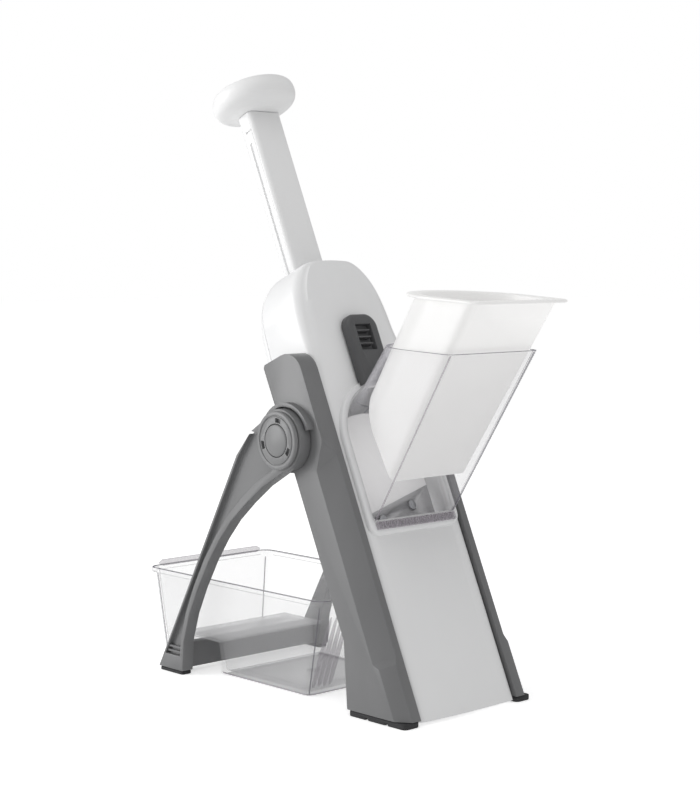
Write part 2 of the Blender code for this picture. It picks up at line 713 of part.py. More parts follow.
def build_springs(steel, finish):
    """The two return springs under the carriage's yoke, drawn as coils, and the bar they stand on."""
    seat = box(-0.0376, 0.0376, 0.0280, 0.0385, 0.1450, 0.1492)
    make("spring_seat", seat, finish, body_matrix())
    for side, tag in ((-1.0, "left"), (1.0, "right")):
        curve = bpy.data.curves.new("return_spring_" + tag, "CURVE")
        curve.dimensions = "3D"
        curve.bevel_depth = 0.0005
        curve.bevel_resolution = 0
        curve.resolution_u = 1
        curve.render_resolution_u = 0
        curve.use_fill_caps = True
        turns = 11
        per_turn = 10
        count = turns * per_turn + 1
        line = curve.splines.new("POLY")
        line.points.add(count - 1)
        low = 0.1500
        high = YOKE_LOW - 0.0010
        for i in range(count):
            turn = 2.0 * math.pi * i / per_turn
            x = 0.0032 * math.cos(turn)
            y = 0.0032 * math.sin(turn)
            z = low + (high - low) * i / (count - 1)
            line.points[i].co = (x, y, z, 1.0)
        obj = bpy.data.objects.new("return_spring_" + tag, curve)
        bpy.context.scene.collection.objects.link(obj)
        obj.matrix_world = body_matrix(side * 0.0190, 0.0330, 0.0)
        curve.materials.append(steel)


# ---------------------------------------------------------------- chute, pusher and latch


def chute_ring(inset, part):
    """One ring of the chute's wall, upright frame: its foot is part 0, its neck part 1, its mouth part 2."""
    foot = tombstone(
        CHUTE_W - inset, CHUTE_LOW + inset, OPEN_SPRING, CHUTE_TOP - inset,
        max(0.0030 - inset, 0.0012), 14)
    mouth = tombstone(
        MOUTH_W - inset, MOUTH_FRONT + inset, MOUTH_SPRING, MOUTH_BACK - inset,
        max(0.0060 - inset, 0.0020), 14)
    ring = []
    for (x0, z0), (x2, y2) in zip(foot, mouth):
        y_foot = -COLLAR_Y - GAP
        rise = max(0.0, (z0 - CHUTE_LOW) / (CHUTE_TOP - CHUTE_LOW))
        a = Vector((x0, *row_of_body(y_foot, z0)))
        b = Vector((x0, *row_of_body(y_foot - CHUTE_NECK * rise ** 1.5 - 0.0004, z0)))
        c = Vector((x2, y2, MOUTH_Z + MOUTH_RISE * y2))
        if part <= 1.0:
            ring.append(tuple(a + (b - a) * part))
        else:
            ring.append(tuple(b + (c - b) * (part - 1.0)))
    return ring


def build_chute(finish):
    """The clear feed chute."""
    where = row_matrix()
    rings = [chute_ring(0.0, part) for part in (0.0, 1.0, 2.0)]
    obj = make("feed_chute", loft(rings), finish, where, 40.0)
    inside = [chute_ring(CHUTE_WALL, part) for part in (-1.0, 0.0, 1.0, 2.05)]
    boolean(obj, cutter("chute_inside", loft(inside), where))
    return obj


def pusher_ring(inset, level, grow):
    """One ring of the seated pusher's wall: at its slanted face (level None) or at a height."""
    axis = Vector((0.0, -math.sin(CHUTE_TILT), math.cos(CHUTE_TILT)))
    half = MOUTH_W - CHUTE_WALL - PUSHER_CLEAR
    front = MOUTH_FRONT + CHUTE_WALL + 0.0012 + inset
    back = MOUTH_BACK - CHUTE_WALL - 0.0008 - inset
    outline = tombstone(half - inset, front, MOUTH_SPRING, back, max(0.0050 - inset, 0.0020), 14)
    ring = []
    for x, y in outline:
        start = Vector((x, y, MOUTH_Z))
        if level is None:
            by, bz = body_of_row(y, MOUTH_Z)
            dy = math.sin(CHUTE_TILT) * math.cos(LEAN) + math.cos(CHUTE_TILT) * math.sin(LEAN)
            dz = math.sin(CHUTE_TILT) * math.sin(LEAN) - math.cos(CHUTE_TILT) * math.cos(LEAN)
            slope = (FACE_HIGH_Y - FACE_LOW_Y) / (OPEN_TOP - OPEN_LOW)
            down = (FACE_LOW_Y + slope * (bz - OPEN_LOW) - grow - by) / (dy - slope * dz)
            point = start - axis * down
            narrow = (CHUTE_W - CHUTE_WALL - PUSHER_CLEAR) / half
            point.x *= narrow
        else:
            point = start + axis * ((level + RIM_RISE * y - MOUTH_Z) / axis.z)
            point.x *= 1.0 + 0.02 * grow
        ring.append(tuple(point))
    return ring


def build_pusher(finish):
    """The hand pusher, raised a little out of the chute, with its rim."""
    lift = Vector((0.0, -math.sin(CHUTE_TILT), math.cos(CHUTE_TILT))) * PUSHER_RAISED
    where = row_matrix(lift.x, lift.y, lift.z)
    rings = [pusher_ring(0.0, None, 0.0), pusher_ring(0.0, RIM_Z, 0.0)]
    obj = make("pusher", loft(rings), finish, where, 40.0)
    top = pusher_ring(0.0, RIM_Z, 0.0)
    middle = sum(point[1] for point in top) / len(top)
    outer = []
    for x, y, z in top:
        away = Vector((x, y - middle, 0.0))
        away = away * (1.0 + RIM_OUT / away.length)
        outer.append((away.x, middle + away.y, z + RIM_RISE * (middle + away.y - y)))
    rim = loft([[(x, y, z - RIM_THICK) for x, y, z in outer], outer])
    boolean(obj, cutter("rim", rim, where), "UNION")
    inside = [pusher_ring(PUSHER_WALL, None, PUSHER_WALL), pusher_ring(PUSHER_WALL, RIM_Z + 0.004, 0.0)]
    boolean(obj, cutter("pusher_inside", loft(inside), where))
    return obj


def latch_outline():
    """Front view of the latch: its foot is hollowed to sit round the top of the chute."""
    radius_x = CHUTE_W + LATCH_GAP
    radius_z = CHUTE_TOP - OPEN_SPRING + LATCH_GAP
    found = []
    for i in range(9):
        x = LATCH_W * (i / 4.0 - 1.0)
        found.append((x, OPEN_SPRING + radius_z * math.sqrt(1.0 - (x / radius_x) ** 2)))
    flat = LATCH_W - LATCH_CORNER
    found += arc(flat, LATCH_SPRING, LATCH_CORNER, 0.0, 90.0, 5)
    found += arc(-flat, LATCH_SPRING, LATCH_CORNER, 90.0, 180.0, 5)
    return found


def build_latch(finish):
    """The chute latch on the head's face, with its ribbed grip."""
    where = body_matrix()
    outline = latch_outline()
    middle = 0.2340
    top = [(x * 0.93, middle + (z - middle) * 0.97) for x, z in outline]
    rings = [
        [(x, -0.0006, z) for x, z in outline],
        [(x, -LATCH_THICK + 0.0010, z) for x, z in outline],
        [(x, -LATCH_THICK, z) for x, z in top],
    ]
    obj = make("chute_latch", loft(rings), finish, where, 35.0)
    relief = tombstone(0.0375 + GAP, 0.1176, OPEN_SPRING, COLLAR_TOP + GAP, 0.0030, 16)
    boolean(obj, cutter("latch_relief", prism(relief, -COLLAR_Y - GAP, 0.002, "Y"), where))
    for i in range(4):
        z = 0.2340 + 0.0044 * i
        slot = box(-0.0070, 0.0070, -0.010, -0.0030, z, z + 0.0022)
        boolean(obj, cutter("latch_grip_%d" % i, slot, where))
    shank = box(-0.0042, 0.0042, -0.0020, 0.0055, 0.2290, 0.2410)
    boolean(obj, cutter("latch_shank", shank, where), "UNION")
    return obj


# ---------------------------------------------------------------- slice guide and catch bin


def build_slice_guide(finish):
    """The ramp inside the lower body that sends slices into the bin."""
    outline = [(0.0466, 0.0936), (0.0700, 0.0775), (0.0700, 0.0755), (0.0462, 0.0914)]
    half = BODY_W - BODY_WALL - 0.0006
    make("slice_guide", prism(outline, -half, half), finish, row_matrix())


def bin_ring(half, front, back, z, radius):
    """One ring round the catch bin."""
    return [(x, y, z) for x, y in rounded_rectangle(-half, half, front, back, radius, 4)]


def build_bin(finish):
    """The clear catch bin, with its rim and the raised floor that passes over the crossbar."""
    where = row_matrix()
    rim = 0.0020
    rings = [
        bin_ring(BIN_FLOOR_W, BIN_FRONT, BIN_BACK, BIN_Z, 0.0050),
        bin_ring(BIN_TOP_W - 0.0001, BIN_TOP_FRONT, BIN_TOP_BACK, BIN_TOP - 0.0030, 0.0070),
        bin_ring(BIN_TOP_W + rim, BIN_TOP_FRONT - rim, BIN_TOP_BACK + rim, BIN_TOP - 0.0030, 0.0090),
        bin_ring(BIN_TOP_W + rim, BIN_TOP_FRONT - rim, BIN_TOP_BACK + rim, BIN_TOP, 0.0090),
    ]
    obj = make("catch_bin", loft(rings), finish, where, 40.0)
    t = BIN_WALL
    inner = [
        bin_ring(BIN_FLOOR_W - t, BIN_FRONT + t, BIN_BACK - t, BIN_Z + t, 0.0040),
        bin_ring(BIN_TOP_W - t + 0.0003, BIN_TOP_FRONT + t, BIN_TOP_BACK - t, BIN_TOP + 0.004, 0.0060),
    ]
    cavity = cutter("bin_cavity", loft(inner), where)
    front = BIN_TUNNEL_FRONT
    back = BIN_TUNNEL_BACK
    top = BAR_TOP + 0.0020
    tunnel = [(front, 0.0), (front, top), (back, top), (back, 0.0)]
    roof = [(front - t, 0.0), (front - t, top + t), (back + t, top + t), (back + t, 0.0)]
    boolean(cavity, cutter("bin_roof", prism(roof, -0.08, 0.08), where))
    boolean(obj, cavity)
    lip = [
        (BIN_TOP_BACK - 0.0040, BIN_TOP - 0.0022), (BIN_TOP_BACK + rim - 0.0004, BIN_TOP - 0.0022),
        (BIN_TOP_BACK + rim - 0.0004, LIP_TOP - 0.0012), (BIN_TOP_BACK + rim - 0.0018, LIP_TOP),
        (BIN_TOP_BACK - 0.0026, LIP_TOP), (BIN_TOP_BACK - 0.0040, LIP_TOP - 0.0012),
    ]
    span = BIN_TOP_W - 0.0050
    boolean(obj, cutter("bin_lip", prism(lip, -span, span), where), "UNION")
    boolean(obj, cutter("bin_tunnel", prism(tunnel, -0.08, 0.08), where))
    return obj


def main():
    """Builds every sub-part."""
    clear_scene()
    white = material("white_plastic", (0.86, 0.87, 0.88), 0.34)
    grey = material("grey_plastic", (0.19, 0.19, 0.20), 0.42)
    hub_grey = material("hub_plastic", (0.17, 0.17, 0.18), 0.40)
    latch_grey = material("latch_plastic", (0.10, 0.10, 0.105), 0.45)
    rubber = material("rubber", (0.035, 0.035, 0.037), 0.80)
    steel = material("blade_steel", (0.62, 0.63, 0.65), 0.24, 1.0)
    dark = material("pin_steel", (0.42, 0.43, 0.45), 0.35, 1.0)
    clear = material("clear_plastic", (0.86, 0.86, 0.90), 0.06, 0.0, 0.35, 0.9)
    milky = material("milky_plastic", (0.88, 0.88, 0.89), 0.30, 0.0, 0.75, 0.2)

    build_front_shell(white)
    build_rear_shell(white)
    build_rear_screws(dark)
    for side, tag in ((-1.0, "left"), (1.0, "right")):
        build_rail(side, "side_rail_" + tag, grey)
        build_rail_pad(side, "rail_pad_" + tag, rubber)
    build_stand(grey, rubber, dark, hub_grey)
    build_plunger(white)
    build_carriage(white, steel, dark)
    build_deck(white, steel, dark, latch_grey)
    build_comb(steel, white)
    build_springs(dark, white)
    build_chute(clear)
    build_pusher(milky)
    build_latch(latch_grey)
    build_slice_guide(white)
    build_bin(clear)


main()
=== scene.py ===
"""Looks of the hand-pumped vegetable slicer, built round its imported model."""

import json
import math

import bmesh
import bpy
import numpy as np
from mathutils import Matrix, Vector


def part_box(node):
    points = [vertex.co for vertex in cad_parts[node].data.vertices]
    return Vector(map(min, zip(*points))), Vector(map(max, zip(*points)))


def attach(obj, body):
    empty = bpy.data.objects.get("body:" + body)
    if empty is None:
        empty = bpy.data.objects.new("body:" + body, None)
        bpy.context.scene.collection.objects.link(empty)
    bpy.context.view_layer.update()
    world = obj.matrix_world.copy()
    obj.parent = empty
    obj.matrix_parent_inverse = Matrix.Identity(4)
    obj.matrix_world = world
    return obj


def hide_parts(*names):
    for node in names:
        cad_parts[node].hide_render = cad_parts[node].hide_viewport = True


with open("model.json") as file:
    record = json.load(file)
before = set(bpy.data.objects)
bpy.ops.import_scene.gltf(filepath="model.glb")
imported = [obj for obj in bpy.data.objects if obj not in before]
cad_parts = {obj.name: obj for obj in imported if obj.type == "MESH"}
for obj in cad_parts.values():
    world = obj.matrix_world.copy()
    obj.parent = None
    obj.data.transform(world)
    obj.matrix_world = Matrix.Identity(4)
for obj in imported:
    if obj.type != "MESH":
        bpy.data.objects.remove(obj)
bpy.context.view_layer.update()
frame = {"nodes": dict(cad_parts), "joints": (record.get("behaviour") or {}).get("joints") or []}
JOINTS = {joint["name"]: joint for joint in frame["joints"]}

# The body frame is tilted by LEAN about X: z up along the body, y towards the back, and its
# origin under the front face. The stand's pivot is a known point of it.
DOWN = Vector(JOINTS["plunger_travel"]["axis"])
LEAN = math.atan2(-DOWN.y, -DOWN.z)
PIVOT = Vector(JOINTS["stand_fold"]["pos_m"])
PIVOT_BODY = Vector((0.0, 0.0262, 0.1893))
TILT = Matrix.Rotation(-LEAN, 4, "X")
ORIGIN = PIVOT - TILT @ PIVOT_BODY
GAP = 0.0004

# Body
BODY_WALL = 0.0020
SPLIT_Y = 0.0220
SPLIT_HEAD_Y = 0.0405
SPLIT_HEAD_Z = 0.2000
REAR_FLOOR = 0.1430
ADJUST_Z = 0.1600
REAR_SCREWS = ((-0.0270, 0.1540), (0.0270, 0.1540), (-0.0260, 0.2440), (0.0260, 0.2440))
STEM_Y = 0.0300
STEM_W = 0.0265
STEM_D = 0.0135
STEM_LOW = 0.2874
STEM_TOP = 0.4103
KNOB_R = 0.0276
KNOB_TOP = 0.4288

# Opening, chute and pusher
OPEN_W = 0.0329
OPEN_LOW = 0.1268
OPEN_SPRING = 0.1775
OPEN_TOP = 0.2104
COLLAR_Y = 0.0016
COLLAR_TOP = 0.2148
CHUTE_W = 0.0345
CHUTE_LOW = 0.1252
CHUTE_TOP = 0.2120
CHUTE_WALL = 0.0016
CHUTE_NECK = 0.0080
CHUTE_TILT = math.radians(33.2)
MOUTH_W = 0.0385
MOUTH_FRONT = -0.0162
MOUTH_SPRING = 0.0180
MOUTH_BACK = 0.0585
MOUTH_Z = 0.2180
MOUTH_RISE = 0.04
PUSHER_CLEAR = 0.0006
PUSHER_WALL = 0.0018
PUSHER_RAISED = 0.0230
FACE_LOW_Y = -0.0042
FACE_HIGH_Y = 0.0030
RIM_Z = 0.2292
RIM_RISE = 0.06
RIM_OUT = 0.0060
RIM_THICK = 0.0018

# Catch bin
BIN_FLOOR_W = 0.0425
BIN_TOP_W = 0.0505
BIN_FRONT = 0.0985
BIN_BACK = 0.2440
BIN_TOP_FRONT = 0.0790
BIN_TOP_BACK = 0.2480
BIN_Z = 0.0029
BIN_TOP = 0.0655
BIN_WALL = 0.0020
BIN_RIM = 0.0020
TUNNEL_FRONT = 0.1825
TUNNEL_BACK = 0.2185
TUNNEL_TOP = 0.0235
LIP_TOP = 0.0692
FLUTE_SHAPE = ((0.0, 0.0007), (0.08, 0.0014), (0.5, 0.0016), (0.9, 0.0010), (1.0, 0.0003))

# Latch: how far its outline is drawn in at each depth
LATCH_W = 0.0130
LATCH_MIDDLE = 0.2370
LATCH_DOME = (
    (0.0, -0.0006), (0.0, -0.0042), (0.0003, -0.0051),
    (0.0009, -0.0058), (0.0017, -0.0062), (0.0030, -0.0064),
)

# Deck
PLATE_EDGE = 0.1394

# Hub
HUB_FACE_R = 0.0176
HUB_CAP_R = 0.0098

# Camera
CAMERA_AT = Vector((-0.7595, -0.7086, 0.2742))
CAMERA_AZIMUTH = math.radians(-42.96)
CAMERA_ELEVATION = math.radians(4.697)
CAMERA_LENS = 80.6


# ---------------------------------------------------------------- frames and mesh helpers


def in_body(x=0.0, y=0.0, z=0.0):
    """Matrix of a point of the body frame, tilted as the body is."""
    return Matrix.Translation(ORIGIN) @ TILT @ Matrix.Translation((x, y, z))


def upright(x=0.0, y=0.0, z=0.0):
    """Matrix of an upright frame at a point measured from the body frame's origin."""
    return Matrix.Translation(ORIGIN + Vector((x, y, z)))


def row_of_body(y, z):
    """Upright (y, z) of a body frame point."""
    return (y * math.cos(LEAN) + z * math.sin(LEAN), z * math.cos(LEAN) - y * math.sin(LEAN))


def body_of_row(y, z):
    """Body frame (y, z) of an upright point."""
    return (y * math.cos(LEAN) - z * math.sin(LEAN), y * math.sin(LEAN) + z * math.cos(LEAN))


def loft(rings, closed_loop=False):
    """A closed bmesh through rings of equal length, capped at both ends unless it closes on itself."""
    bm = bmesh.new()
    rows = [[bm.verts.new(point) for point in ring] for ring in rings]
    count = len(rows[0])
    pairs = list(zip(rows, rows[1:]))
    if closed_loop:
        pairs.append((rows[-1], rows[0]))
    for low, high in pairs:
        for i in range(count):
            j = (i + 1) % count
            bm.faces.new((low[i], low[j], high[j], high[i]))
    if not closed_loop:
        bm.faces.new(rows[0])
        bm.faces.new(rows[-1])
    bmesh.ops.recalc_face_normals(bm, faces=bm.faces)
    return bm


def prism(outline, low, high, axis="X"):
    """A closed bmesh of a flat outline drawn out along one axis."""
    def at(pair, depth):
        if axis == "X":
            return (depth, pair[0], pair[1])
        if axis == "Y":
            return (pair[0], depth, pair[1])
        return (pair[0], pair[1], depth)

    return loft([[at(pair, low) for pair in outline], [at(pair, high) for pair in outline]])


def box(x0, x1, y0, y1, z0, z1):
    """A closed bmesh of a block."""
    return prism([(x0, y0), (x1, y0), (x1, y1), (x0, y1)], z0, z1, "Z")


def turned(profile, segments, axis="Z"):
    """A closed bmesh turned about an axis from (radius, height) pairs."""
    rings = []
    for radius, height in profile:
        ring = []
        for i in range(segments):
            turn = 2.0 * math.pi * i / segments
            across = radius * math.cos(turn)
            along = radius * math.sin(turn)
            if axis == "X":
                ring.append((height, across, along))
            elif axis == "Y":
                ring.append((across, height, along))
            else:
                ring.append((across, along, height))
        rings.append(ring)
    return loft(rings)


def arc(cx, cy, radius, start, end, steps):
    """Points of an arc, both ends in it, angles in degrees."""
    found = []
    for i in range(steps + 1):
        turn = math.radians(start + (end - start) * i / steps)
        found.append((cx + radius * math.cos(turn), cy + radius * math.sin(turn)))
    return found


def ring_at(at, radius, count):
    """A level ring of points round a point."""
    x, y, z = at
    turn = 360.0 - 360.0 / count
    return [(x + across, y + along, z) for across, along in arc(0.0, 0.0, radius, 0.0, turn, count - 1)]


def rounded_rectangle(x0, x1, y0, y1, radius, steps=6):
    """Outline of a rectangle with round corners."""
    found = arc(x1 - radius, y0 + radius, radius, -90.0, 0.0, steps)
    found += arc(x1 - radius, y1 - radius, radius, 0.0, 90.0, steps)
    found += arc(x0 + radius, y1 - radius, radius, 90.0, 180.0, steps)
    found += arc(x0 + radius, y0 + radius, radius, 180.0, 270.0, steps)
    return found


def tombstone(half, low, spring, top, corner, steps=40, along=6):
    """Outline with a straight foot, straight sides and a round top, its sides cut into short runs."""
    found = arc(half - corner, low + corner, corner, -90.0, 0.0, 5)
    for i in range(1, along):
        found.append((half, low + corner + (spring - low - corner) * i / along))
    for i in range(steps + 1):
        turn = math.pi * i / steps
        found.append((half * math.cos(turn), spring + (top - spring) * math.sin(turn)))
    for i in range(1, along):
        found.append((-half, spring + (low + corner - spring) * i / along))
    found += arc(-half + corner, low + corner, corner, 180.0, 270.0, 5)
    return found


def smoothed(rows, per):
    """Rows of numbers with a smooth curve run through them, per steps between each two."""
    points = np.array(rows, float)
    padded = np.vstack([2 * points[0] - points[1], points, 2 * points[-1] - points[-2]])
    found = []
    for k in range(1, len(padded) - 2):
        p0, p1, p2, p3 = padded[k - 1:k + 3]
        for step in range(per):
            t = step / per
            found.append(0.5 * (
                2 * p1 + (p2 - p0) * t + (2 * p0 - 5 * p1 + 4 * p2 - p3) * t ** 2
                + (3 * p1 - p0 - 3 * p2 + p3) * t ** 3))
    found.append(points[-1])
    return [tuple(row) for row in found]


def piece(name, bm, finish, matrix, smooth=35.0):
    """A shown object from a bmesh."""
    mesh = bpy.data.meshes.new(name)
    bm.to_mesh(mesh)
    bm.free()
    obj = bpy.data.objects.new(name, mesh)
    bpy.context.scene.collection.objects.link(obj)
    obj.matrix_world = matrix
    if finish is not None:
        mesh.materials.append(finish)
    mesh.shade_smooth()
    mesh.set_sharp_from_angle(angle=math.radians(smooth))
    return obj


def cut(obj, bm, matrix, operation="DIFFERENCE"):
    """Cuts a helper solid from an object, or joins it on, and removes the helper."""
    helper = piece("helper", bm, None, matrix)
    step = obj.modifiers.new("Boolean", "BOOLEAN")
    step.operation = operation
    step.solver = "EXACT"
    step.object = helper
    bake(obj)
    bpy.data.objects.remove(helper, do_unlink=True)


def bake(obj):
    """Turns an object's modifiers into its mesh."""
    graph = bpy.context.evaluated_depsgraph_get()
    mesh = bpy.data.meshes.new_from_object(obj.evaluated_get(graph))
    obj.modifiers.clear()
    obj.data = mesh


def clean(obj, angle=0.6):
    """Joins the flat triangles of an object into whole faces."""
    bm = bmesh.new()
    bm.from_mesh(obj.data)
    bmesh.ops.remove_doubles(bm, verts=bm.verts, dist=2e-6)
    bmesh.ops.dissolve_limit(
        bm, angle_limit=math.radians(angle), verts=bm.verts, edges=bm.edges, delimit={"SEAM"})
    bm.to_mesh(obj.data)
    bm.free()


def soften(obj, width, segments=2, angle=30.0):
    """Rounds an object's sharp edges and shades it smooth across them."""
    step = obj.modifiers.new("Bevel", "BEVEL")
    step.width = width
    step.segments = segments
    step.limit_method = "ANGLE"
    step.angle_limit = math.radians(angle)
    step.use_clamp_overlap = True
    step.miter_outer = "MITER_ARC"
    bake(obj)
    obj.data.shade_smooth()
    obj.data.set_sharp_from_angle(angle=math.radians(40.0))


def dress(obj, body, slot, *nodes):
    """Puts a piece on its body and hides the solids it stands for."""
    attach(obj, body)
    if nodes:
        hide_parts(*nodes)
    return obj


def finished_copy(node, body, slot, finish, width=0.0004, segments=2):
    """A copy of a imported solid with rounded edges, which stands for it."""
    obj = frame["nodes"][node].copy()
    obj.data = obj.data.copy()
    obj.name = node + "_finish"
    for key in list(obj.keys()):
        del obj[key]
    obj.parent = None
    obj.matrix_world = Matrix.Identity(4)
    bpy.context.scene.collection.objects.link(obj)
    obj.data.materials.clear()
    obj.data.materials.append(finish)
    clean(obj)
    soften(obj, width, segments)
    dress(obj, body, slot, node)
    return obj


# ---------------------------------------------------------------- materials


def new_material(name):
    """An empty material, its shader and a function that adds and links nodes."""
    made = bpy.data.materials.new(name)
    made.use_nodes = True
    tree = made.node_tree
    shader = tree.nodes["Principled BSDF"]
    coordinates = tree.nodes.new("ShaderNodeTexCoord")

    def noise(scale, detail=3.0, stretch=(1.0, 1.0, 1.0)):
        mapping = tree.nodes.new("ShaderNodeMapping")
        mapping.inputs["Scale"].default_value = stretch
        tree.links.new(coordinates.outputs["Object"], mapping.inputs["Vector"])
        texture = tree.nodes.new("ShaderNodeTexNoise")
        texture.inputs["Scale"].default_value = scale
        texture.inputs["Detail"].default_value = detail
        tree.links.new(mapping.outputs["Vector"], texture.inputs["Vector"])
        return texture.outputs["Fac"]

    return made, tree, shader, noise


def vary(tree, factor, low, high, target):
    """Runs a noise through a range into a number socket."""
    spread = tree.nodes.new("ShaderNodeMapRange")
    spread.inputs["From Min"].default_value = 0.3
    spread.inputs["From Max"].default_value = 0.7
    spread.inputs["To Min"].default_value = low
    spread.inputs["To Max"].default_value = high
    tree.links.new(factor, spread.inputs["Value"])
    tree.links.new(spread.outputs["Result"], target)


def tint(tree, factor, low, high, target):
    """Runs a noise through two colours into a colour socket."""
    ramp = tree.nodes.new("ShaderNodeValToRGB")
    ramp.color_ramp.elements[0].position = 0.30
    ramp.color_ramp.elements[0].color = (*low, 1.0)
    ramp.color_ramp.elements[1].position = 0.70
    ramp.color_ramp.elements[1].color = (*high, 1.0)
    tree.links.new(factor, ramp.inputs["Fac"])
    tree.links.new(ramp.outputs["Color"], target)


def rough(tree, shader, factor, strength, distance):
    """Bumps the surface by a noise."""
    bump = tree.nodes.new("ShaderNodeBump")
    bump.inputs["Strength"].default_value = strength
    bump.inputs["Distance"].default_value = distance
    tree.links.new(factor, bump.inputs["Height"])
    tree.links.new(bump.outputs["Normal"], shader.inputs["Normal"])


def moulded(name, colour, spread, roughness, grain, depth, coat=0.0, painted_glow=0.0):
    """Moulded plastic: fine grain, faint flow marks and uneven gloss. The glow is painted light: an
    emission that brightens the plastic in place of light passing through it and of light kept off by shade.
    """
    made, tree, shader, noise = new_material(name)
    low = [value * (1.0 - spread) for value in colour]
    high = [min(1.0, value * (1.0 + spread)) for value in colour]
    tint(tree, noise(38.0, 4.0, (1.0, 1.0, 0.35)), low, high, shader.inputs["Base Color"])
    vary(tree, noise(900.0, 2.0), roughness - 0.05, roughness + 0.05, shader.inputs["Roughness"])
    rough(tree, shader, noise(grain, 4.0), 0.35, depth)
    shader.inputs["Coat Weight"].default_value = coat
    shader.inputs["Coat Roughness"].default_value = 0.25
    # Painted light: the plastic glows though it is no lamp.
    if painted_glow > 0.0:
        shader.inputs["Emission Color"].default_value = (1.0, 0.99, 0.995, 1.0)
        shader.inputs["Emission Strength"].default_value = painted_glow
    return made


def brushed(name, colour, roughness, stretch, depth, metallic):
    """Ground steel with fine scratches along one way."""
    made, tree, shader, noise = new_material(name)
    scratches = noise(1400.0, 5.0, stretch)
    low = [value * 0.80 for value in colour]
    tint(tree, scratches, low, colour, shader.inputs["Base Color"])
    vary(tree, scratches, roughness - 0.07, roughness + 0.10, shader.inputs["Roughness"])
    rough(tree, shader, scratches, 0.25, depth)
    shader.inputs["Metallic"].default_value = metallic
    return made


def clear(name, colour, thin, roughness, ripple):
    """Clear plastic: almost unseen face-on, tinted and solid edge-on, with faint ripples."""
    made, tree, shader, noise = new_material(name)
    tint(tree, noise(26.0, 2.0), [value * 0.97 for value in colour], colour, shader.inputs["Base Color"])
    weight = tree.nodes.new("ShaderNodeLayerWeight")
    weight.inputs["Blend"].default_value = 0.5
    share = tree.nodes.new("ShaderNodeMapRange")
    share.interpolation_type = "SMOOTHSTEP"
    share.inputs["From Min"].default_value = 0.45
    share.inputs["From Max"].default_value = 0.98
    share.inputs["To Min"].default_value = thin
    share.inputs["To Max"].default_value = min(1.0, thin + 0.62)
    tree.links.new(weight.outputs["Facing"], share.inputs["Value"])
    tree.links.new(share.outputs["Result"], shader.inputs["Alpha"])
    vary(tree, noise(60.0, 2.0), roughness * 0.6, roughness * 1.4, shader.inputs["Roughness"])
    rough(tree, shader, noise(24.0, 1.0), 0.10, ripple)
    shader.inputs["IOR"].default_value = 1.45
    return made


# The white mouldings carry painted light: their last number is a glow that brightens them though they are
# no lamp.
WHITE = moulded("white_moulding", (0.850, 0.852, 0.856), 0.010, 0.34, 2600.0, 0.000020, 0.15)
WHITE_STEM = moulded("stem_moulding", (0.865, 0.866, 0.868), 0.010, 0.40, 2600.0, 0.000020, 0.10)
GREY = moulded("grey_moulding", (0.170, 0.171, 0.174), 0.05, 0.36, 1900.0, 0.000070)
HUB_GREY = moulded("hub_moulding", (0.200, 0.201, 0.204), 0.05, 0.40, 1900.0, 0.000060)
LATCH_GREY = moulded("latch_moulding", (0.082, 0.083, 0.086), 0.06, 0.38, 1900.0, 0.000050)
# Painted light: the inner white parts glow to lift them out of the shade inside the body.
WHITE_INNER_PAINTED_LIGHT = moulded("inner_moulding_painted_light", (0.860, 0.855, 0.858), 0.010, 0.40, 2600.0, 0.000020, painted_glow=0.16)
RUBBER = moulded("foot_rubber", (0.030, 0.030, 0.032), 0.12, 0.75, 1400.0, 0.000120)
STEEL = brushed("ground_steel", (0.66, 0.66, 0.67), 0.46, (0.10, 1.0, 1.0), 0.000004, 0.75)
PIN_STEEL = brushed("pin_steel", (0.48, 0.49, 0.51), 0.32, (1.0, 0.12, 1.0), 0.000006, 1.0)
CLEAR = clear("clear_moulding", (0.50, 0.49, 0.52), 0.07, 0.12, 0.00010)
# A dark copy of the clear plastic: its own tint deepened into painted shade, for edges seen edge-on.
CLEAR_EDGE_SHADE = clear("clear_edge_painted_shade", (0.13, 0.12, 0.17), 0.42, 0.20, 0.00020)
# The plastic's own lilac-grey tint seen through thick parts; on the chute's left corner and the bin's foot
# it is painted shade.
CLEAR_NECK = clear("clear_neck", (0.42, 0.38, 0.43), 0.30, 0.20, 0.00040)
CLEAR_BIN = clear("clear_bin", (0.66, 0.66, 0.67), 0.13, 0.12, 0.00010)


def milky():
    """Milky plastic, a little translucent, with a glow of painted light in place of light passing through
    it.
    """
    made, tree, shader, noise = new_material("milky_moulding")
    tint(tree, noise(30.0, 3.0), (0.47, 0.47, 0.466), (0.49, 0.49, 0.488), shader.inputs["Base Color"])
    vary(tree, noise(700.0, 2.0), 0.28, 0.38, shader.inputs["Roughness"])
    rough(tree, shader, noise(500.0, 2.0), 0.08, 0.000010)
    shader.inputs["Subsurface Weight"].default_value = 0.4
    shader.inputs["Subsurface Radius"].default_value = (0.004, 0.004, 0.004)
    shader.inputs["Subsurface Scale"].default_value = 1.0
    # Painted light: an emission that makes the pusher glow though it is no lamp.
    shader.inputs["Emission Color"].default_value = (1.0, 0.99, 0.98, 1.0)
    shader.inputs["Emission Strength"].default_value = 0.36
    return made


MILKY = milky()


# ---------------------------------------------------------------- body

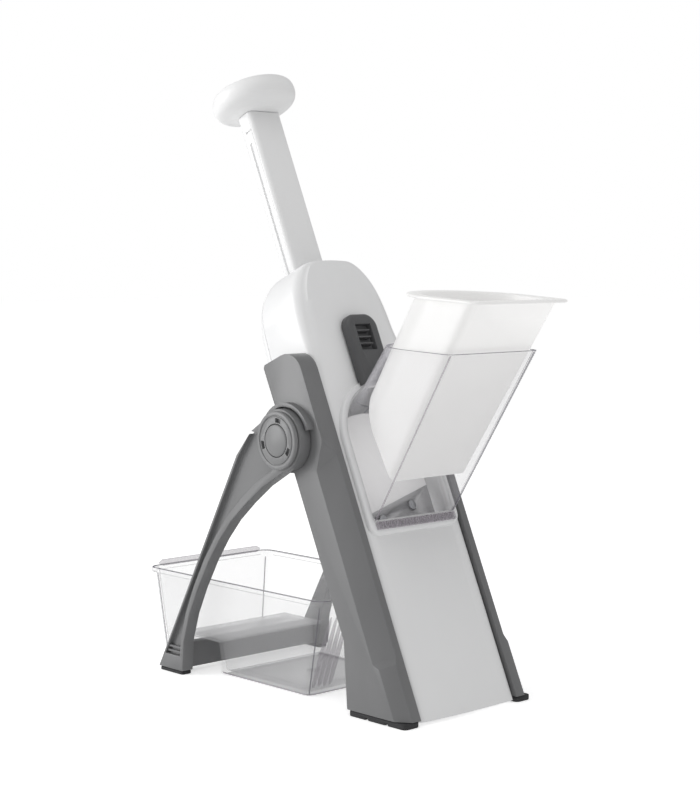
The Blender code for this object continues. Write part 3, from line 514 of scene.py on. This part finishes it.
# Height, half width, front setback, crown, corner radius and back of the body's outside
BODY_STATIONS = (
    (-0.0100, 0.0402, 0.0, 0.0014, 0.0030, 0.0470),
    (0.1950, 0.0402, 0.0, 0.0014, 0.0030, 0.0475),
    (0.2160, 0.0402, 0.0, 0.0020, 0.0036, 0.0480),
    (0.2280, 0.0400, 0.0, 0.0026, 0.0044, 0.0482),
    (0.2400, 0.0392, 0.0, 0.0034, 0.0054, 0.0484),
    (0.2500, 0.0386, 0.0, 0.0040, 0.0062, 0.0484),
    (0.2600, 0.0381, 0.0, 0.0042, 0.0066, 0.0480),
    (0.2690, 0.0371, 0.0, 0.0043, 0.0070, 0.0472),
    (0.2760, 0.0355, 0.0001, 0.0043, 0.0070, 0.0462),
    (0.2820, 0.0332, 0.0003, 0.0042, 0.0068, 0.0448),
    (0.2870, 0.0303, 0.0007, 0.0040, 0.0064, 0.0432),
    (0.2910, 0.0270, 0.0013, 0.0036, 0.0060, 0.0414),
    (0.2942, 0.0232, 0.0023, 0.0030, 0.0054, 0.0394),
    (0.2964, 0.0190, 0.0037, 0.0022, 0.0046, 0.0374),
    (0.2975, 0.0148, 0.0056, 0.0014, 0.0034, 0.0358),
)


def body_ring(station, inset, corner_steps):
    """One ring round the body, drawn in by a wall thickness."""
    z, half, setback, crown, corner, back = station
    w = half - inset
    r = max(corner - inset, 0.0012)
    y_front = setback + inset
    y_back = back - inset
    flat = w - r
    ring = []
    for i in range(17):
        x = flat * (i / 8.0 - 1.0)
        ring.append((x, y_front + crown * (x / w) ** 2))
    side_front = y_front + crown
    ring += arc(flat, side_front + r, r, -90.0, 0.0, corner_steps)[1:]
    ring += arc(flat, y_back - r, r, 0.0, 90.0, corner_steps)
    ring += arc(-flat, y_back - r, r, 90.0, 180.0, corner_steps)
    ring += arc(-flat, side_front + r, r, 180.0, 270.0, corner_steps)[:-1]
    return [(x, y, z) for x, y in ring]


def body_solid(inset, per):
    """The body's outside, or its inside when drawn in by the wall."""
    rings = []
    for station in [BODY_STATIONS[0]] + smoothed(BODY_STATIONS[1:], per):
        if inset > 0.0 and station[0] > 0.2950:
            continue
        low = -0.002 if station[0] < -0.0099 and inset > 0.0 else 0.0
        drop = low - inset * min(1.0, max(0.0, (station[0] - 0.255) / 0.030))
        rings.append([(x, y, z + drop) for x, y, z in body_ring(station, inset, 8)])
    if inset == 0.0:
        z = rings[-1][0][2]
        middle = sum(point[1] for point in rings[-1]) / len(rings[-1])
        for shrink, rise in ((0.86, 0.00030), (0.66, 0.00042)):
            rings.append([(x * shrink, middle + (y - middle) * shrink, z + rise) for x, y, _ in rings[-1]])
    return loft(rings)


def stem_hole():
    """The hole that the stem slides through in the top of the head."""
    clear_by = 0.0005
    outline = rounded_rectangle(
        -STEM_W / 2 - clear_by, STEM_W / 2 + clear_by,
        STEM_Y - STEM_D / 2 - clear_by, STEM_Y + STEM_D / 2 + clear_by, 0.0032, 8)
    return prism(outline, 0.25, 0.31, "Z")


def build_front_shell():
    """The front half of the body, with its opening and the latch's slot."""
    where = in_body()
    obj = piece("front_shell_skin", body_solid(0.0, 4), WHITE, where)
    cut(obj, body_solid(BODY_WALL, 2), where)
    cut(obj, box(-0.1, 0.1, SPLIT_HEAD_Y, 0.1, -0.05, 0.35), where)
    cut(obj, box(-0.1, 0.1, SPLIT_Y, 0.1, -0.05, SPLIT_HEAD_Z), where)
    cut(obj, stem_hole(), where)
    cut(obj, box(-0.1, 0.1, -0.1, 0.1, -0.06, 0.0046), upright())
    opening = tombstone(OPEN_W, OPEN_LOW, OPEN_SPRING, OPEN_TOP, 0.0030)
    cut(obj, prism(opening, -0.010, 0.010, "Y"), where)
    cut(obj, box(-0.0046, 0.0046, -0.006, 0.012, 0.2280, 0.2520), where)
    clean(obj, 0.05)
    soften(obj, 0.00035, 2, 50.0)
    dress(obj, "housing", "white_plastic", "front_shell")


def build_collar():
    """The raised collar round the opening, its edges rounded."""
    profile = (
        (0.0, 0.0012), (0.0, -0.0008), (0.0003, -0.0013), (0.0008, -COLLAR_Y), (0.0036, -COLLAR_Y),
        (0.0042, -0.0013), (0.0046, -0.0007), (0.0050, 0.0012),
    )
    rings = []
    for out, y in profile:
        outline = tombstone(
            OPEN_W + out, OPEN_LOW - out * 1.9, OPEN_SPRING, OPEN_TOP + out, 0.0030 + out * 0.8, 64)
        rings.append([(x, y, z) for x, z in outline])
    obj = piece("opening_collar", loft(rings, True), WHITE, in_body(), 60.0)
    dress(obj, "housing", "white_plastic")


def build_rear_shell():
    """The back cover, with the spindle's hole and the screw seats."""
    where = in_body()
    obj = piece("rear_shell_skin", body_solid(0.0, 4), WHITE, where)
    cut(obj, body_solid(BODY_WALL, 2), where)
    cut(obj, box(-0.1, 0.1, -0.05, SPLIT_Y + GAP, -0.05, 0.35), where)
    cut(obj, box(-0.1, 0.1, -0.05, SPLIT_HEAD_Y + GAP, SPLIT_HEAD_Z - GAP, 0.35), where)
    cut(obj, box(-0.1, 0.1, -0.05, 0.1, -0.05, REAR_FLOOR), where)
    cut(obj, turned([(0.0034, 0.035), (0.0034, 0.055)], 32, "Y"), in_body(0.0, 0.0, ADJUST_Z))
    for x, z in REAR_SCREWS:
        seat = [(0.0016, 0.035), (0.0016, 0.0468), (0.0030, 0.0468), (0.0030, 0.06)]
        cut(obj, turned(seat, 32, "Y"), in_body(x, 0.0, z))
    clean(obj, 0.05)
    soften(obj, 0.00035, 2, 50.0)
    dress(obj, "housing", "white_plastic", "rear_shell")


# ---------------------------------------------------------------- plunger


def build_stem():
    """The stem: rounded, with a long groove and a short notch on each side."""
    where = in_body(0.0, STEM_Y, 0.0)
    outline = rounded_rectangle(-STEM_W / 2, STEM_W / 2, -STEM_D / 2, STEM_D / 2, 0.0030, 8)
    obj = piece("stem_skin", prism(outline, STEM_LOW, STEM_TOP, "Z"), WHITE_STEM, where)
    for side in (-1.0, 1.0):
        face = side * STEM_W / 2
        x0 = min(face - side * 0.0010, face + side * 0.002)
        x1 = max(face - side * 0.0010, face + side * 0.002)
        cut(obj, box(x0, x1, -0.0010, 0.0014, STEM_LOW - 0.01, STEM_TOP - 0.020), where)
        cut(obj, box(x0, x1, -0.0036, 0.0022, STEM_TOP - 0.0125, STEM_TOP - 0.0113), where)
    clean(obj, 0.05)
    soften(obj, 0.0003, 2, 50.0)
    dress(obj, "plunger", "white_plastic", "plunger_stem")


def build_knob():
    """The palm knob, turned, with a soft shoulder and a slightly dished top."""
    z = KNOB_TOP
    profile = [
        (0.0006, STEM_TOP + GAP), (0.0138, STEM_TOP + GAP), (0.0146, STEM_TOP + GAP + 0.0004),
        (0.0170, z - 0.0164), (0.0224, z - 0.0146), (0.0256, z - 0.0126), (KNOB_R - 0.0006, z - 0.0104),
        (KNOB_R, z - 0.0080), (KNOB_R - 0.0002, z - 0.0046), (KNOB_R - 0.0012, z - 0.0021),
        (KNOB_R - 0.0032, z - 0.0006), (0.0215, z - 0.0001), (0.0120, z), (0.0006, z - 0.0001),
    ]
    rows = profile[:3] + smoothed(profile[3:], 5)
    obj = piece("knob_skin", turned(rows, 96, "Z"), WHITE_STEM, in_body(0.0, STEM_Y, 0.0), 50.0)
    dress(obj, "plunger", "white_plastic", "plunger_knob")


# ---------------------------------------------------------------- chute and pusher


def chute_ring(inset, part):
    """One ring of the chute's wall: its foot is part 0, its neck part 1, its mouth part 2."""
    foot = tombstone(
        CHUTE_W - inset, CHUTE_LOW + inset, OPEN_SPRING, CHUTE_TOP - inset, max(0.0030 - inset, 0.0012), 64)
    mouth = tombstone(
        MOUTH_W - inset, MOUTH_FRONT + inset, MOUTH_SPRING, MOUTH_BACK - inset,
        max(0.0060 - inset, 0.0020), 64)
    ring = []
    for (x0, z0), (x2, y2) in zip(foot, mouth):
        y_foot = -COLLAR_Y - GAP
        rise = max(0.0, (z0 - CHUTE_LOW) / (CHUTE_TOP - CHUTE_LOW))
        a = Vector((x0, *row_of_body(y_foot, z0)))
        b = Vector((x0, *row_of_body(y_foot - CHUTE_NECK * rise ** 1.5 - 0.0004, z0)))
        c = Vector((x2, y2, MOUTH_Z + MOUTH_RISE * y2))
        if part <= 1.0:
            ring.append(tuple(a + (b - a) * part))
        else:
            ring.append(tuple(b + (c - b) * (part - 1.0)))
    return ring


def build_chute():
    """The clear chute's walls and a dark strip of painted shade along its mouth's edge."""
    top = 1.997
    walls = [chute_ring(0.0, part) for part in (0.0, 1.0, 1.25, 1.5, 1.75, top)]
    walls += [chute_ring(CHUTE_WALL, part) for part in (top, 1.75, 1.5, 1.25, 1.0, 0.0)]
    obj = piece("chute_walls", loft(walls, True), CLEAR, upright(), 30.0)
    dress(obj, "chute", "clear_plastic", "feed_chute")
    # Painted shade: a dark strip over the mouth's rim.
    edge = [chute_ring(0.0, top + 0.0002), chute_ring(0.0002, 2.0), chute_ring(CHUTE_WALL - 0.0002, 2.0)]
    edge += [chute_ring(CHUTE_WALL, top + 0.0002)]
    obj = piece("chute_mouth_edge", loft(edge, True), CLEAR_EDGE_SHADE, upright(), 60.0)
    dress(obj, "chute", "clear_plastic")


def build_chute_corners():
    """Rods of painted shade down the chute's thick front corners, darker on the right corner than on the
    left.
    """
    for side, index in ((1.0, 2), (-1.0, -3)):
        rings = []
        for part in (0.05, 1.0, 1.25, 1.5, 1.75, 1.99):
            rings.append(ring_at(chute_ring(CHUTE_WALL * 0.5, part)[index], 0.00055, 12))
        name = "chute_corner_" + ("right" if side > 0 else "left")
        # Painted shade: the right corner takes the dark edge material, the left corner the lighter neck
        # material.
        finish = CLEAR_EDGE_SHADE if side > 0 else CLEAR_NECK
        obj = piece(name, loft(rings), finish, upright(), 60.0)
        dress(obj, "chute", "clear_plastic")


def build_chute_comb():
    """The row of small ribs along the foot of the chute."""
    count = 20
    half = CHUTE_W - 0.0012
    low = CHUTE_LOW - 0.0046
    high = CHUTE_LOW - 0.0002
    outline = [(-half, 0.0)]
    pitch = 2.0 * half / count
    back = -COLLAR_Y - 0.0002
    for i in range(count):
        x = -half + pitch * i
        outline += [
            (x + pitch * 0.10, back - 0.0006), (x + pitch * 0.26, back - 0.0026),
            (x + pitch * 0.60, back - 0.0026), (x + pitch * 0.76, back - 0.0006),
        ]
    outline[0] = (-half, back)
    outline.append((half, back))
    obj = piece("chute_foot_comb", prism(outline, low, high, "Z"), CLEAR_NECK, in_body(), 30.0)
    dress(obj, "chute", "clear_plastic")


def pusher_ring(inset, level, grow):
    """One ring of the seated pusher's wall: at its slanted face (level None) or at a height."""
    axis = Vector((0.0, -math.sin(CHUTE_TILT), math.cos(CHUTE_TILT)))
    half = MOUTH_W - CHUTE_WALL - PUSHER_CLEAR
    outline = tombstone(
        half - inset, MOUTH_FRONT + CHUTE_WALL + 0.0012 + inset, MOUTH_SPRING,
        MOUTH_BACK - CHUTE_WALL - 0.0008 - inset, max(0.0050 - inset, 0.0020), 64)
    ring = []
    for x, y in outline:
        start = Vector((x, y, MOUTH_Z))
        if level is None:
            by, bz = body_of_row(y, MOUTH_Z)
            dy = math.sin(CHUTE_TILT) * math.cos(LEAN) + math.cos(CHUTE_TILT) * math.sin(LEAN)
            dz = math.sin(CHUTE_TILT) * math.sin(LEAN) - math.cos(CHUTE_TILT) * math.cos(LEAN)
            slope = (FACE_HIGH_Y - FACE_LOW_Y) / (OPEN_TOP - OPEN_LOW)
            down = (FACE_LOW_Y + slope * (bz - OPEN_LOW) - grow - by) / (dy - slope * dz)
            point = start - axis * down
            point.x *= (CHUTE_W - CHUTE_WALL - PUSHER_CLEAR) / half
        else:
            point = start + axis * ((level + RIM_RISE * y - MOUTH_Z) / axis.z)
        ring.append(tuple(point))
    return ring


def spread_ring(ring, out, lift):
    """A ring grown outwards and raised along the rim's slope."""
    middle = sum(point[1] for point in ring) / len(ring)
    found = []
    for x, y, z in ring:
        away = Vector((x, y - middle, 0.0))
        away = away * (1.0 + out / away.length)
        found.append((away.x, middle + away.y, z + RIM_RISE * (middle + away.y - y) + lift))
    return found


def build_pusher():
    """The milky pusher: a closed cup with a rounded rim."""
    axis = Vector((0.0, -math.sin(CHUTE_TILT), math.cos(CHUTE_TILT)))
    where = upright() @ Matrix.Translation(axis * PUSHER_RAISED)
    foot = pusher_ring(0.0, None, 0.0)
    top = pusher_ring(0.0, RIM_Z, 0.0)
    under = [tuple(Vector(a).lerp(Vector(b), 0.985)) for a, b in zip(foot, top)]
    rings = [foot, under]
    rings += [spread_ring(top, out, lift) for out, lift in (
        (0.0004, -RIM_THICK), (RIM_OUT - 0.0006, -RIM_THICK), (RIM_OUT - 0.0001, -RIM_THICK * 0.75),
        (RIM_OUT, -RIM_THICK * 0.45), (RIM_OUT - 0.0002, -RIM_THICK * 0.15), (RIM_OUT - 0.0009, 0.0),
        (-0.0004, 0.0), (-0.0014, -0.0006))]
    inner_top = pusher_ring(PUSHER_WALL, RIM_Z, 0.0)
    inner_foot = pusher_ring(PUSHER_WALL, None, PUSHER_WALL)
    rings += [spread_ring(inner_top, 0.0, -0.0030), inner_foot]
    obj = piece("pusher_cup", loft(rings), MILKY, where, 32.0)
    dress(obj, "pusher", "milky_plastic", "pusher")


# ---------------------------------------------------------------- catch bin


def bin_ring(out, level, sink=0.0):
    """One ring round the bin at a height from its floor (0) to its rim (1), drawn in or out."""
    half = BIN_FLOOR_W + (BIN_TOP_W - BIN_FLOOR_W) * level + out
    front = BIN_FRONT + (BIN_TOP_FRONT - BIN_FRONT) * level - out
    back = BIN_BACK + (BIN_TOP_BACK - BIN_BACK) * level + out
    radius = 0.0050 + 0.0030 * level + min(0.0, out) * 0.6
    z = BIN_Z + (BIN_TOP - BIN_Z) * level + sink
    return [(x, y, z) for x, y in rounded_rectangle(-half, half, front, back, radius, 8)]


def tunnel_solid():
    """The space under the bin that the stand's crossbar runs through."""
    outline = [
        (TUNNEL_FRONT, -0.001), (TUNNEL_FRONT, TUNNEL_TOP),
        (TUNNEL_BACK, TUNNEL_TOP), (TUNNEL_BACK, -0.001),
    ]
    return prism(outline, -0.08, 0.08)


def build_bin():
    """The clear bin: thin walls, rounded floor edge, flanged rim and the raised floor over the crossbar."""
    where = upright()
    t = BIN_WALL * 0.8
    rings = [
        bin_ring(-0.0018, 0.0), bin_ring(-0.0006, 0.0, 0.0003), bin_ring(0.0, 0.0, 0.0014),
        bin_ring(0.0, 0.45), bin_ring(-0.0001, 0.950), bin_ring(BIN_RIM - 0.0004, 0.953),
        bin_ring(BIN_RIM, 0.962), bin_ring(BIN_RIM, 0.988), bin_ring(BIN_RIM - 0.0004, 0.998),
        bin_ring(-t, 0.998), bin_ring(-t, 0.45), bin_ring(-t, 0.0, 0.0034),
        bin_ring(-t - 0.0010, 0.0, 0.0022),
        bin_ring(-t - 0.0030, 0.0, BIN_WALL),
    ]
    obj = piece("bin_walls", loft(rings), CLEAR_BIN, where, 40.0)
    roof = [
        (TUNNEL_FRONT - BIN_WALL, 0.004), (TUNNEL_FRONT - BIN_WALL, TUNNEL_TOP + BIN_WALL),
        (TUNNEL_BACK + BIN_WALL, TUNNEL_TOP + BIN_WALL), (TUNNEL_BACK + BIN_WALL, 0.004),
    ]
    cut(obj, prism(roof, -BIN_FLOOR_W - 0.0010, BIN_FLOOR_W + 0.0010), where, "UNION")
    cut(obj, tunnel_solid(), where)
    clean(obj, 0.05)
    soften(obj, 0.0003, 1, 60.0)
    dress(obj, "catch_bin", "clear_plastic", "catch_bin")
    # Painted shade: a dark strip along the bin's rim, as its clear edge shows edge-on.
    edge = [bin_ring(BIN_RIM - 0.0004, 0.9985), bin_ring(BIN_RIM - 0.0006, 1.004)]
    edge += [bin_ring(BIN_RIM - 0.0012, 1.004), bin_ring(BIN_RIM - 0.0014, 0.9985)]
    obj = piece("bin_rim_edge", loft(edge, True), CLEAR_EDGE_SHADE, where, 60.0)
    dress(obj, "catch_bin", "clear_plastic")


def build_bin_lines():
    """Rods and a band of painted shade along the bin's four corners and round its foot, where they are seen
    edge-on.
    """
    where = upright()
    steps = (0.01, 0.3, 0.6, 0.93)
    for index in range(4):
        corner = 9 * index + 4
        rings = []
        for level in steps:
            rings.append(ring_at(bin_ring(-0.0008, level)[corner], 0.0004, 8))
        obj = piece("bin_corner_%d" % (index + 1), loft(rings), CLEAR_EDGE_SHADE, where, 60.0)
        dress(obj, "catch_bin", "clear_plastic")
    foot = [bin_ring(-0.0016, 0.0, 0.0001), bin_ring(-0.0008, 0.0, 0.0001)]
    foot += [bin_ring(-0.0005, 0.0, 0.0009), bin_ring(-0.0013, 0.0, 0.0009)]
    obj = piece("bin_foot_line", loft(foot, True), CLEAR_NECK, where, 60.0)
    cut(obj, tunnel_solid(), where)
    dress(obj, "catch_bin", "clear_plastic")


def build_leg_ribs():
    """The two small ribs across the foot of each leg's recess."""
    for side, tag in ((-1.0, "left"), (1.0, "right")):
        low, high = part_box("stand_leg_" + tag)
        face = high.x if side > 0 else low.x
        x0 = min(face - side * 0.0034, face - side * 0.0010)
        x1 = max(face - side * 0.0034, face - side * 0.0010)
        for i, z in enumerate((0.0162, 0.0192)):
            back = 0.2150 - (z - 0.0145) * 0.42
            bm = box(x0, x1, 0.2004, back, z, z + 0.0012)
            obj = piece("leg_rib_%s_%d" % (tag, i + 1), bm, GREY, upright(), 40.0)
            dress(obj, "stand", "grey_plastic")


def build_bin_lip():
    """The rolled grip along the bin's rear rim, with rounded ends."""
    radius = 0.0021
    span = BIN_TOP_W - 0.0060
    middle_y = BIN_TOP_BACK - 0.0006
    middle_z = LIP_TOP - radius
    rings = []
    for i in range(25):
        x = -span + 2.0 * span * i / 24
        end = min(1.0, math.sqrt(max(0.02, 1.0 - max(0.0, abs(x) / span - 0.955) ** 2 / 0.045 ** 2)))
        rings.append([
            (x, middle_y + y * end, middle_z + z * end) for y, z in arc(0.0, 0.0, radius, 0.0, 345.0, 23)])
    obj = piece("bin_lip", loft(rings), CLEAR_NECK, upright(), 50.0)
    dress(obj, "catch_bin", "clear_plastic")


def build_bin_details():
    """Flutes inside the bin's front wall, its raised floor panel and the mark of its moulding gate."""
    where = upright()
    for side in (-1.0, 1.0):
        for i in range(4):
            x = side * (0.0225 + 0.0046 * i)
            low = Vector((x, BIN_FRONT + 0.0030, BIN_Z + 0.0042))
            high = Vector((x, BIN_TOP_FRONT + 0.0056, BIN_TOP - 0.0120))
            rings = []
            for share, radius in FLUTE_SHAPE:
                rings.append(ring_at(low.lerp(high, share), radius, 12))
            obj = piece("bin_flute_%d_%d" % (side > 0, i + 1), loft(rings), CLEAR_NECK, where, 60.0)
            dress(obj, "catch_bin", "clear_plastic")
    panel = rounded_rectangle(-0.0330, 0.0330, 0.1100, 0.1720, 0.0040, 8)
    inner = rounded_rectangle(-0.0322, 0.0322, 0.1108, 0.1712, 0.0034, 8)
    floor = BIN_Z + BIN_WALL + 0.0004
    rings = [[(x, y, floor + rise) for x, y in outline] for outline, rise in (
        (panel, 0.0), (panel, 0.0004), (inner, 0.0004), (inner, 0.0))]
    obj = piece("bin_floor_panel", loft(rings, True), CLEAR_BIN, where, 60.0)
    dress(obj, "catch_bin", "clear_plastic")
    ring = turned([(0.0046, 0.0), (0.0046, 0.0005), (0.0036, 0.0005), (0.0036, 0.0001)], 48, "Z")
    obj = piece("bin_gate_mark", ring, CLEAR_BIN, upright(0.0, 0.1410, floor), 60.0)
    dress(obj, "catch_bin", "clear_plastic")


# ---------------------------------------------------------------- latch, hubs and deck plate


def build_latch():
    """The chute latch: a domed slider with a sunk, ribbed grip."""
    where = in_body()
    half = LATCH_W
    radius_x = CHUTE_W + 0.0008
    radius_z = CHUTE_TOP - OPEN_SPRING + 0.0008
    outline = []
    for i in range(25):
        x = half * (i / 12.0 - 1.0)
        outline.append((x, OPEN_SPRING + radius_z * math.sqrt(1.0 - (x / radius_x) ** 2)))
    outline += arc(half - 0.0085, 0.2482, 0.0085, 0.0, 90.0, 12)
    outline += arc(0.0085 - half, 0.2482, 0.0085, 90.0, 180.0, 12)
    rings = []
    for inset, y in LATCH_DOME:
        across = 1.0 - inset / LATCH_W
        along = 1.0 - inset / 0.0200
        rings.append([(x * across, y, LATCH_MIDDLE + (z - LATCH_MIDDLE) * along) for x, z in outline])
    obj = piece("latch_skin", loft(rings), LATCH_GREY, where, 50.0)
    relief = tombstone(0.0375 + GAP, 0.1176, OPEN_SPRING, COLLAR_TOP + GAP, 0.0030)
    cut(obj, prism(relief, -COLLAR_Y - GAP, 0.002, "Y"), where)
    grip = rounded_rectangle(-0.0064, 0.0064, 0.2326, 0.2496, 0.0006, 3)
    cut(obj, prism(grip, -0.010, -0.0024, "Y"), where)
    for i in range(3):
        z = 0.2360 + 0.0043 * i
        rib = [(-0.0030, z), (-0.0064, z + 0.0005), (-0.0064, z + 0.0013), (-0.0030, z + 0.0020)]
        cut(obj, prism(rib, -0.0066, 0.0044), where, "UNION")
    shank = box(-0.0042, 0.0042, -0.0020, 0.0055, 0.2290, 0.2410)
    cut(obj, shank, where, "UNION")
    clean(obj, 0.05)
    soften(obj, 0.00022, 2, 45.0)
    dress(obj, "latch", "latch_plastic", "chute_latch")


def build_hub(side, tag):
    """The face of a hub: a ring groove, three slots and a raised middle disc."""
    low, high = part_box("hub_cover_" + tag)
    inner = low.x if side > 0 else high.x
    outer = high.x if side > 0 else low.x
    where = Matrix.Translation((0.0, PIVOT.y, PIVOT.z))
    sunk = outer - side * 0.0006
    profile = [
        (HUB_FACE_R, inner), (HUB_FACE_R, outer - side * 0.0006),
        (HUB_FACE_R - 0.0003, outer - side * 0.0002),
        (HUB_FACE_R - 0.0008, outer), (0.0152, outer), (0.0150, sunk), (0.0144, sunk), (0.0142, outer),
        (HUB_CAP_R + GAP, outer), (HUB_CAP_R + GAP, inner),
    ]
    rings = []
    for radius, x in profile:
        rings.append([(x, y, z) for y, z in arc(0.0, 0.0, radius, 0.0, 360.0 - 360.0 / 96, 95)])
    obj = piece("hub_face_" + tag, loft(rings, True), HUB_GREY, where, 40.0)
    for middle in (99.0, 209.0, 344.0):
        slot = arc(0.0, 0.0, 0.0136, middle - 11.0, middle + 11.0, 10)
        slot += arc(0.0, 0.0, 0.0110, middle + 11.0, middle - 11.0, 10)
        low_x = min(inner + side * 0.0004, outer + side * 0.001)
        high_x = max(inner + side * 0.0004, outer + side * 0.001)
        cut(obj, prism(slot, low_x, high_x), where)
    clean(obj, 0.05)
    soften(obj, 0.00012, 1, 50.0)
    dress(obj, "stand", "hub_plastic", "hub_cover_" + tag)


def build_deck_plate():
    """The ground steel plate on the deck: its upper edge is slanted and two rivets hold it."""
    where = in_body()
    half = 0.0340
    slope = math.tan(math.radians(14.5))
    y = 0.0142
    shape = [
        (-half, 0.1200), (half, 0.1200),
        (half, PLATE_EDGE + half * slope), (-half, PLATE_EDGE - half * slope),
    ]
    obj = piece("deck_plate_skin", prism(shape, y, y + 0.0008, "Y"), STEEL, where, 30.0)
    for x in (-0.0112, 0.0163):
        hole = turned([(0.0020, -0.01), (0.0020, 0.01)], 40, "Y")
        cut(obj, hole, in_body(x, y, PLATE_EDGE + x * slope - 0.0070))
    dress(obj, "deck", "blade_steel", "steel_deck_plate")


# ---------------------------------------------------------------- carried solids


def dress_solids():
    """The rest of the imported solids, each with rounded edges and its own finish."""
    for tag in ("left", "right"):
        finished_copy("side_rail_" + tag, "housing", "grey_plastic", GREY, 0.0007, 3)
        finished_copy("rail_pad_" + tag, "housing", "rubber", RUBBER, 0.0005, 2)
        finished_copy("stand_leg_" + tag, "stand", "grey_plastic", GREY, 0.0006, 3)
        finished_copy("stand_foot_pad_" + tag, "stand", "rubber", RUBBER, 0.0004, 2)
        finished_copy("hub_cap_" + tag, "stand", "hub_plastic", HUB_GREY, 0.0003, 2)
        finished_copy("pivot_pin_" + tag, "housing", "pin_steel", PIN_STEEL, 0.0003, 2)
    finished_copy("stand_crossbar", "stand", "grey_plastic", GREY, 0.0004, 2)
    for node in ("slice_guide", "spring_seat"):
        finished_copy(node, "housing", "white_plastic", WHITE, 0.0003, 2)
    # The landing deck and blade carriage glow as painted light against the shade inside the body.
    finished_copy("landing_deck", "deck", "white_plastic", WHITE_INNER_PAINTED_LIGHT, 0.0003, 2)
    finished_copy("blade_carriage", "plunger", "white_plastic", WHITE_INNER_PAINTED_LIGHT, 0.0003, 2)
    finished_copy("main_blade", "plunger", "blade_steel", STEEL, 0.00005, 1)
    finished_copy("comb_bar", "comb", "white_plastic", WHITE, 0.0003, 2)
    finished_copy("julienne_comb", "comb", "blade_steel", STEEL, 0.00005, 1)
    finished_copy("adjust_spindle", "adjuster", "pin_steel", PIN_STEEL, 0.0003, 2)
    finished_copy("thickness_knob", "adjuster", "latch_plastic", LATCH_GREY, 0.0004, 2)
    for i in range(3):
        finished_copy("blade_rivet_%d" % (i + 1), "plunger", "pin_steel", PIN_STEEL, 0.00015, 2)
    for i in range(2):
        finished_copy("deck_rivet_%d" % (i + 1), "deck", "pin_steel", PIN_STEEL, 0.00015, 2)
    for i in range(4):
        finished_copy("rear_screw_%d" % (i + 1), "housing", "pin_steel", PIN_STEEL, 0.0001, 1)
    for tag in ("left", "right"):
        finished_copy("return_spring_" + tag, "housing", "pin_steel", PIN_STEEL, 0.00005, 1)


# ---------------------------------------------------------------- stage


def build_floor():
    """A plain pale floor under the feet."""
    made, tree, shader, noise = new_material("pale_floor")
    tint(tree, noise(3.0, 2.0), (0.90, 0.90, 0.90), (0.92, 0.92, 0.92), shader.inputs["Base Color"])
    shader.inputs["Roughness"].default_value = 0.9
    shader.inputs["Emission Color"].default_value = (1.0, 1.0, 1.0, 1.0)
    path = tree.nodes.new("ShaderNodeLightPath")
    seen = tree.nodes.new("ShaderNodeMapRange")
    seen.inputs["To Min"].default_value = 0.15
    seen.inputs["To Max"].default_value = 0.50
    tree.links.new(path.outputs["Is Camera Ray"], seen.inputs["Value"])
    tree.links.new(seen.outputs["Result"], shader.inputs["Emission Strength"])
    half = 8.0
    obj = piece("floor", box(-half, half, -half, half, -0.02, 0.0), made, Matrix.Identity(4))


def add_light(name, at, towards, size, energy):
    """A soft square light."""
    light = bpy.data.lights.new(name, "AREA")
    light.size = size
    light.energy = energy
    obj = bpy.data.objects.new(name, light)
    bpy.context.scene.collection.objects.link(obj)
    obj.location = at
    obj.rotation_euler = (Vector(towards) - Vector(at)).to_track_quat("-Z", "Y").to_euler()


def build_stage():
    """Floor, white surroundings, soft lights and the camera."""
    build_floor()
    scene = bpy.context.scene
    world = bpy.data.worlds.new("studio")
    scene.world = world
    world.use_nodes = True
    tree = world.node_tree
    background = tree.nodes["Background"]
    background.inputs["Color"].default_value = (1.0, 1.0, 1.0, 1.0)
    path = tree.nodes.new("ShaderNodeLightPath")
    strength = tree.nodes.new("ShaderNodeMapRange")
    strength.inputs["To Min"].default_value = 0.55
    strength.inputs["To Max"].default_value = 1.0
    tree.links.new(path.outputs["Is Camera Ray"], strength.inputs["Value"])
    tree.links.new(strength.outputs["Result"], background.inputs["Strength"])
    add_light("key", (-1.4, 1.15, 0.55), (0.0, 0.0, 0.18), 1.1, 17.0)
    add_light("top", (-0.3, -0.5, 1.9), (0.0, 0.0, 0.2), 1.2, 5.0)
    scene.view_settings.view_transform = "Standard"
    camera = bpy.data.cameras.new("camera")
    camera.lens = CAMERA_LENS
    camera.sensor_width = 36.0
    camera.clip_start = 0.01
    obj = bpy.data.objects.new("camera", camera)
    scene.collection.objects.link(obj)
    right = Vector((math.cos(CAMERA_AZIMUTH), math.sin(CAMERA_AZIMUTH), 0.0))
    back = Vector((
        math.sin(CAMERA_AZIMUTH) * math.cos(CAMERA_ELEVATION),
        -math.cos(CAMERA_AZIMUTH) * math.cos(CAMERA_ELEVATION),
        math.sin(CAMERA_ELEVATION)))
    up = back.cross(right)
    turn = Matrix((right, up, back)).transposed().to_4x4()
    obj.matrix_world = Matrix.Translation(ORIGIN + CAMERA_AT) @ turn
    scene.camera = obj


build_front_shell()
build_collar()
build_rear_shell()
build_stem()
build_knob()
build_chute()
build_chute_corners()
build_chute_comb()
build_pusher()
build_bin()
build_bin_lip()
build_bin_lines()
build_bin_details()
build_leg_ribs()
build_latch()
build_deck_plate()
for side_sign, side_tag in ((-1.0, "left"), (1.0, "right")):
    build_hub(side_sign, side_tag)
dress_solids()
build_stage()
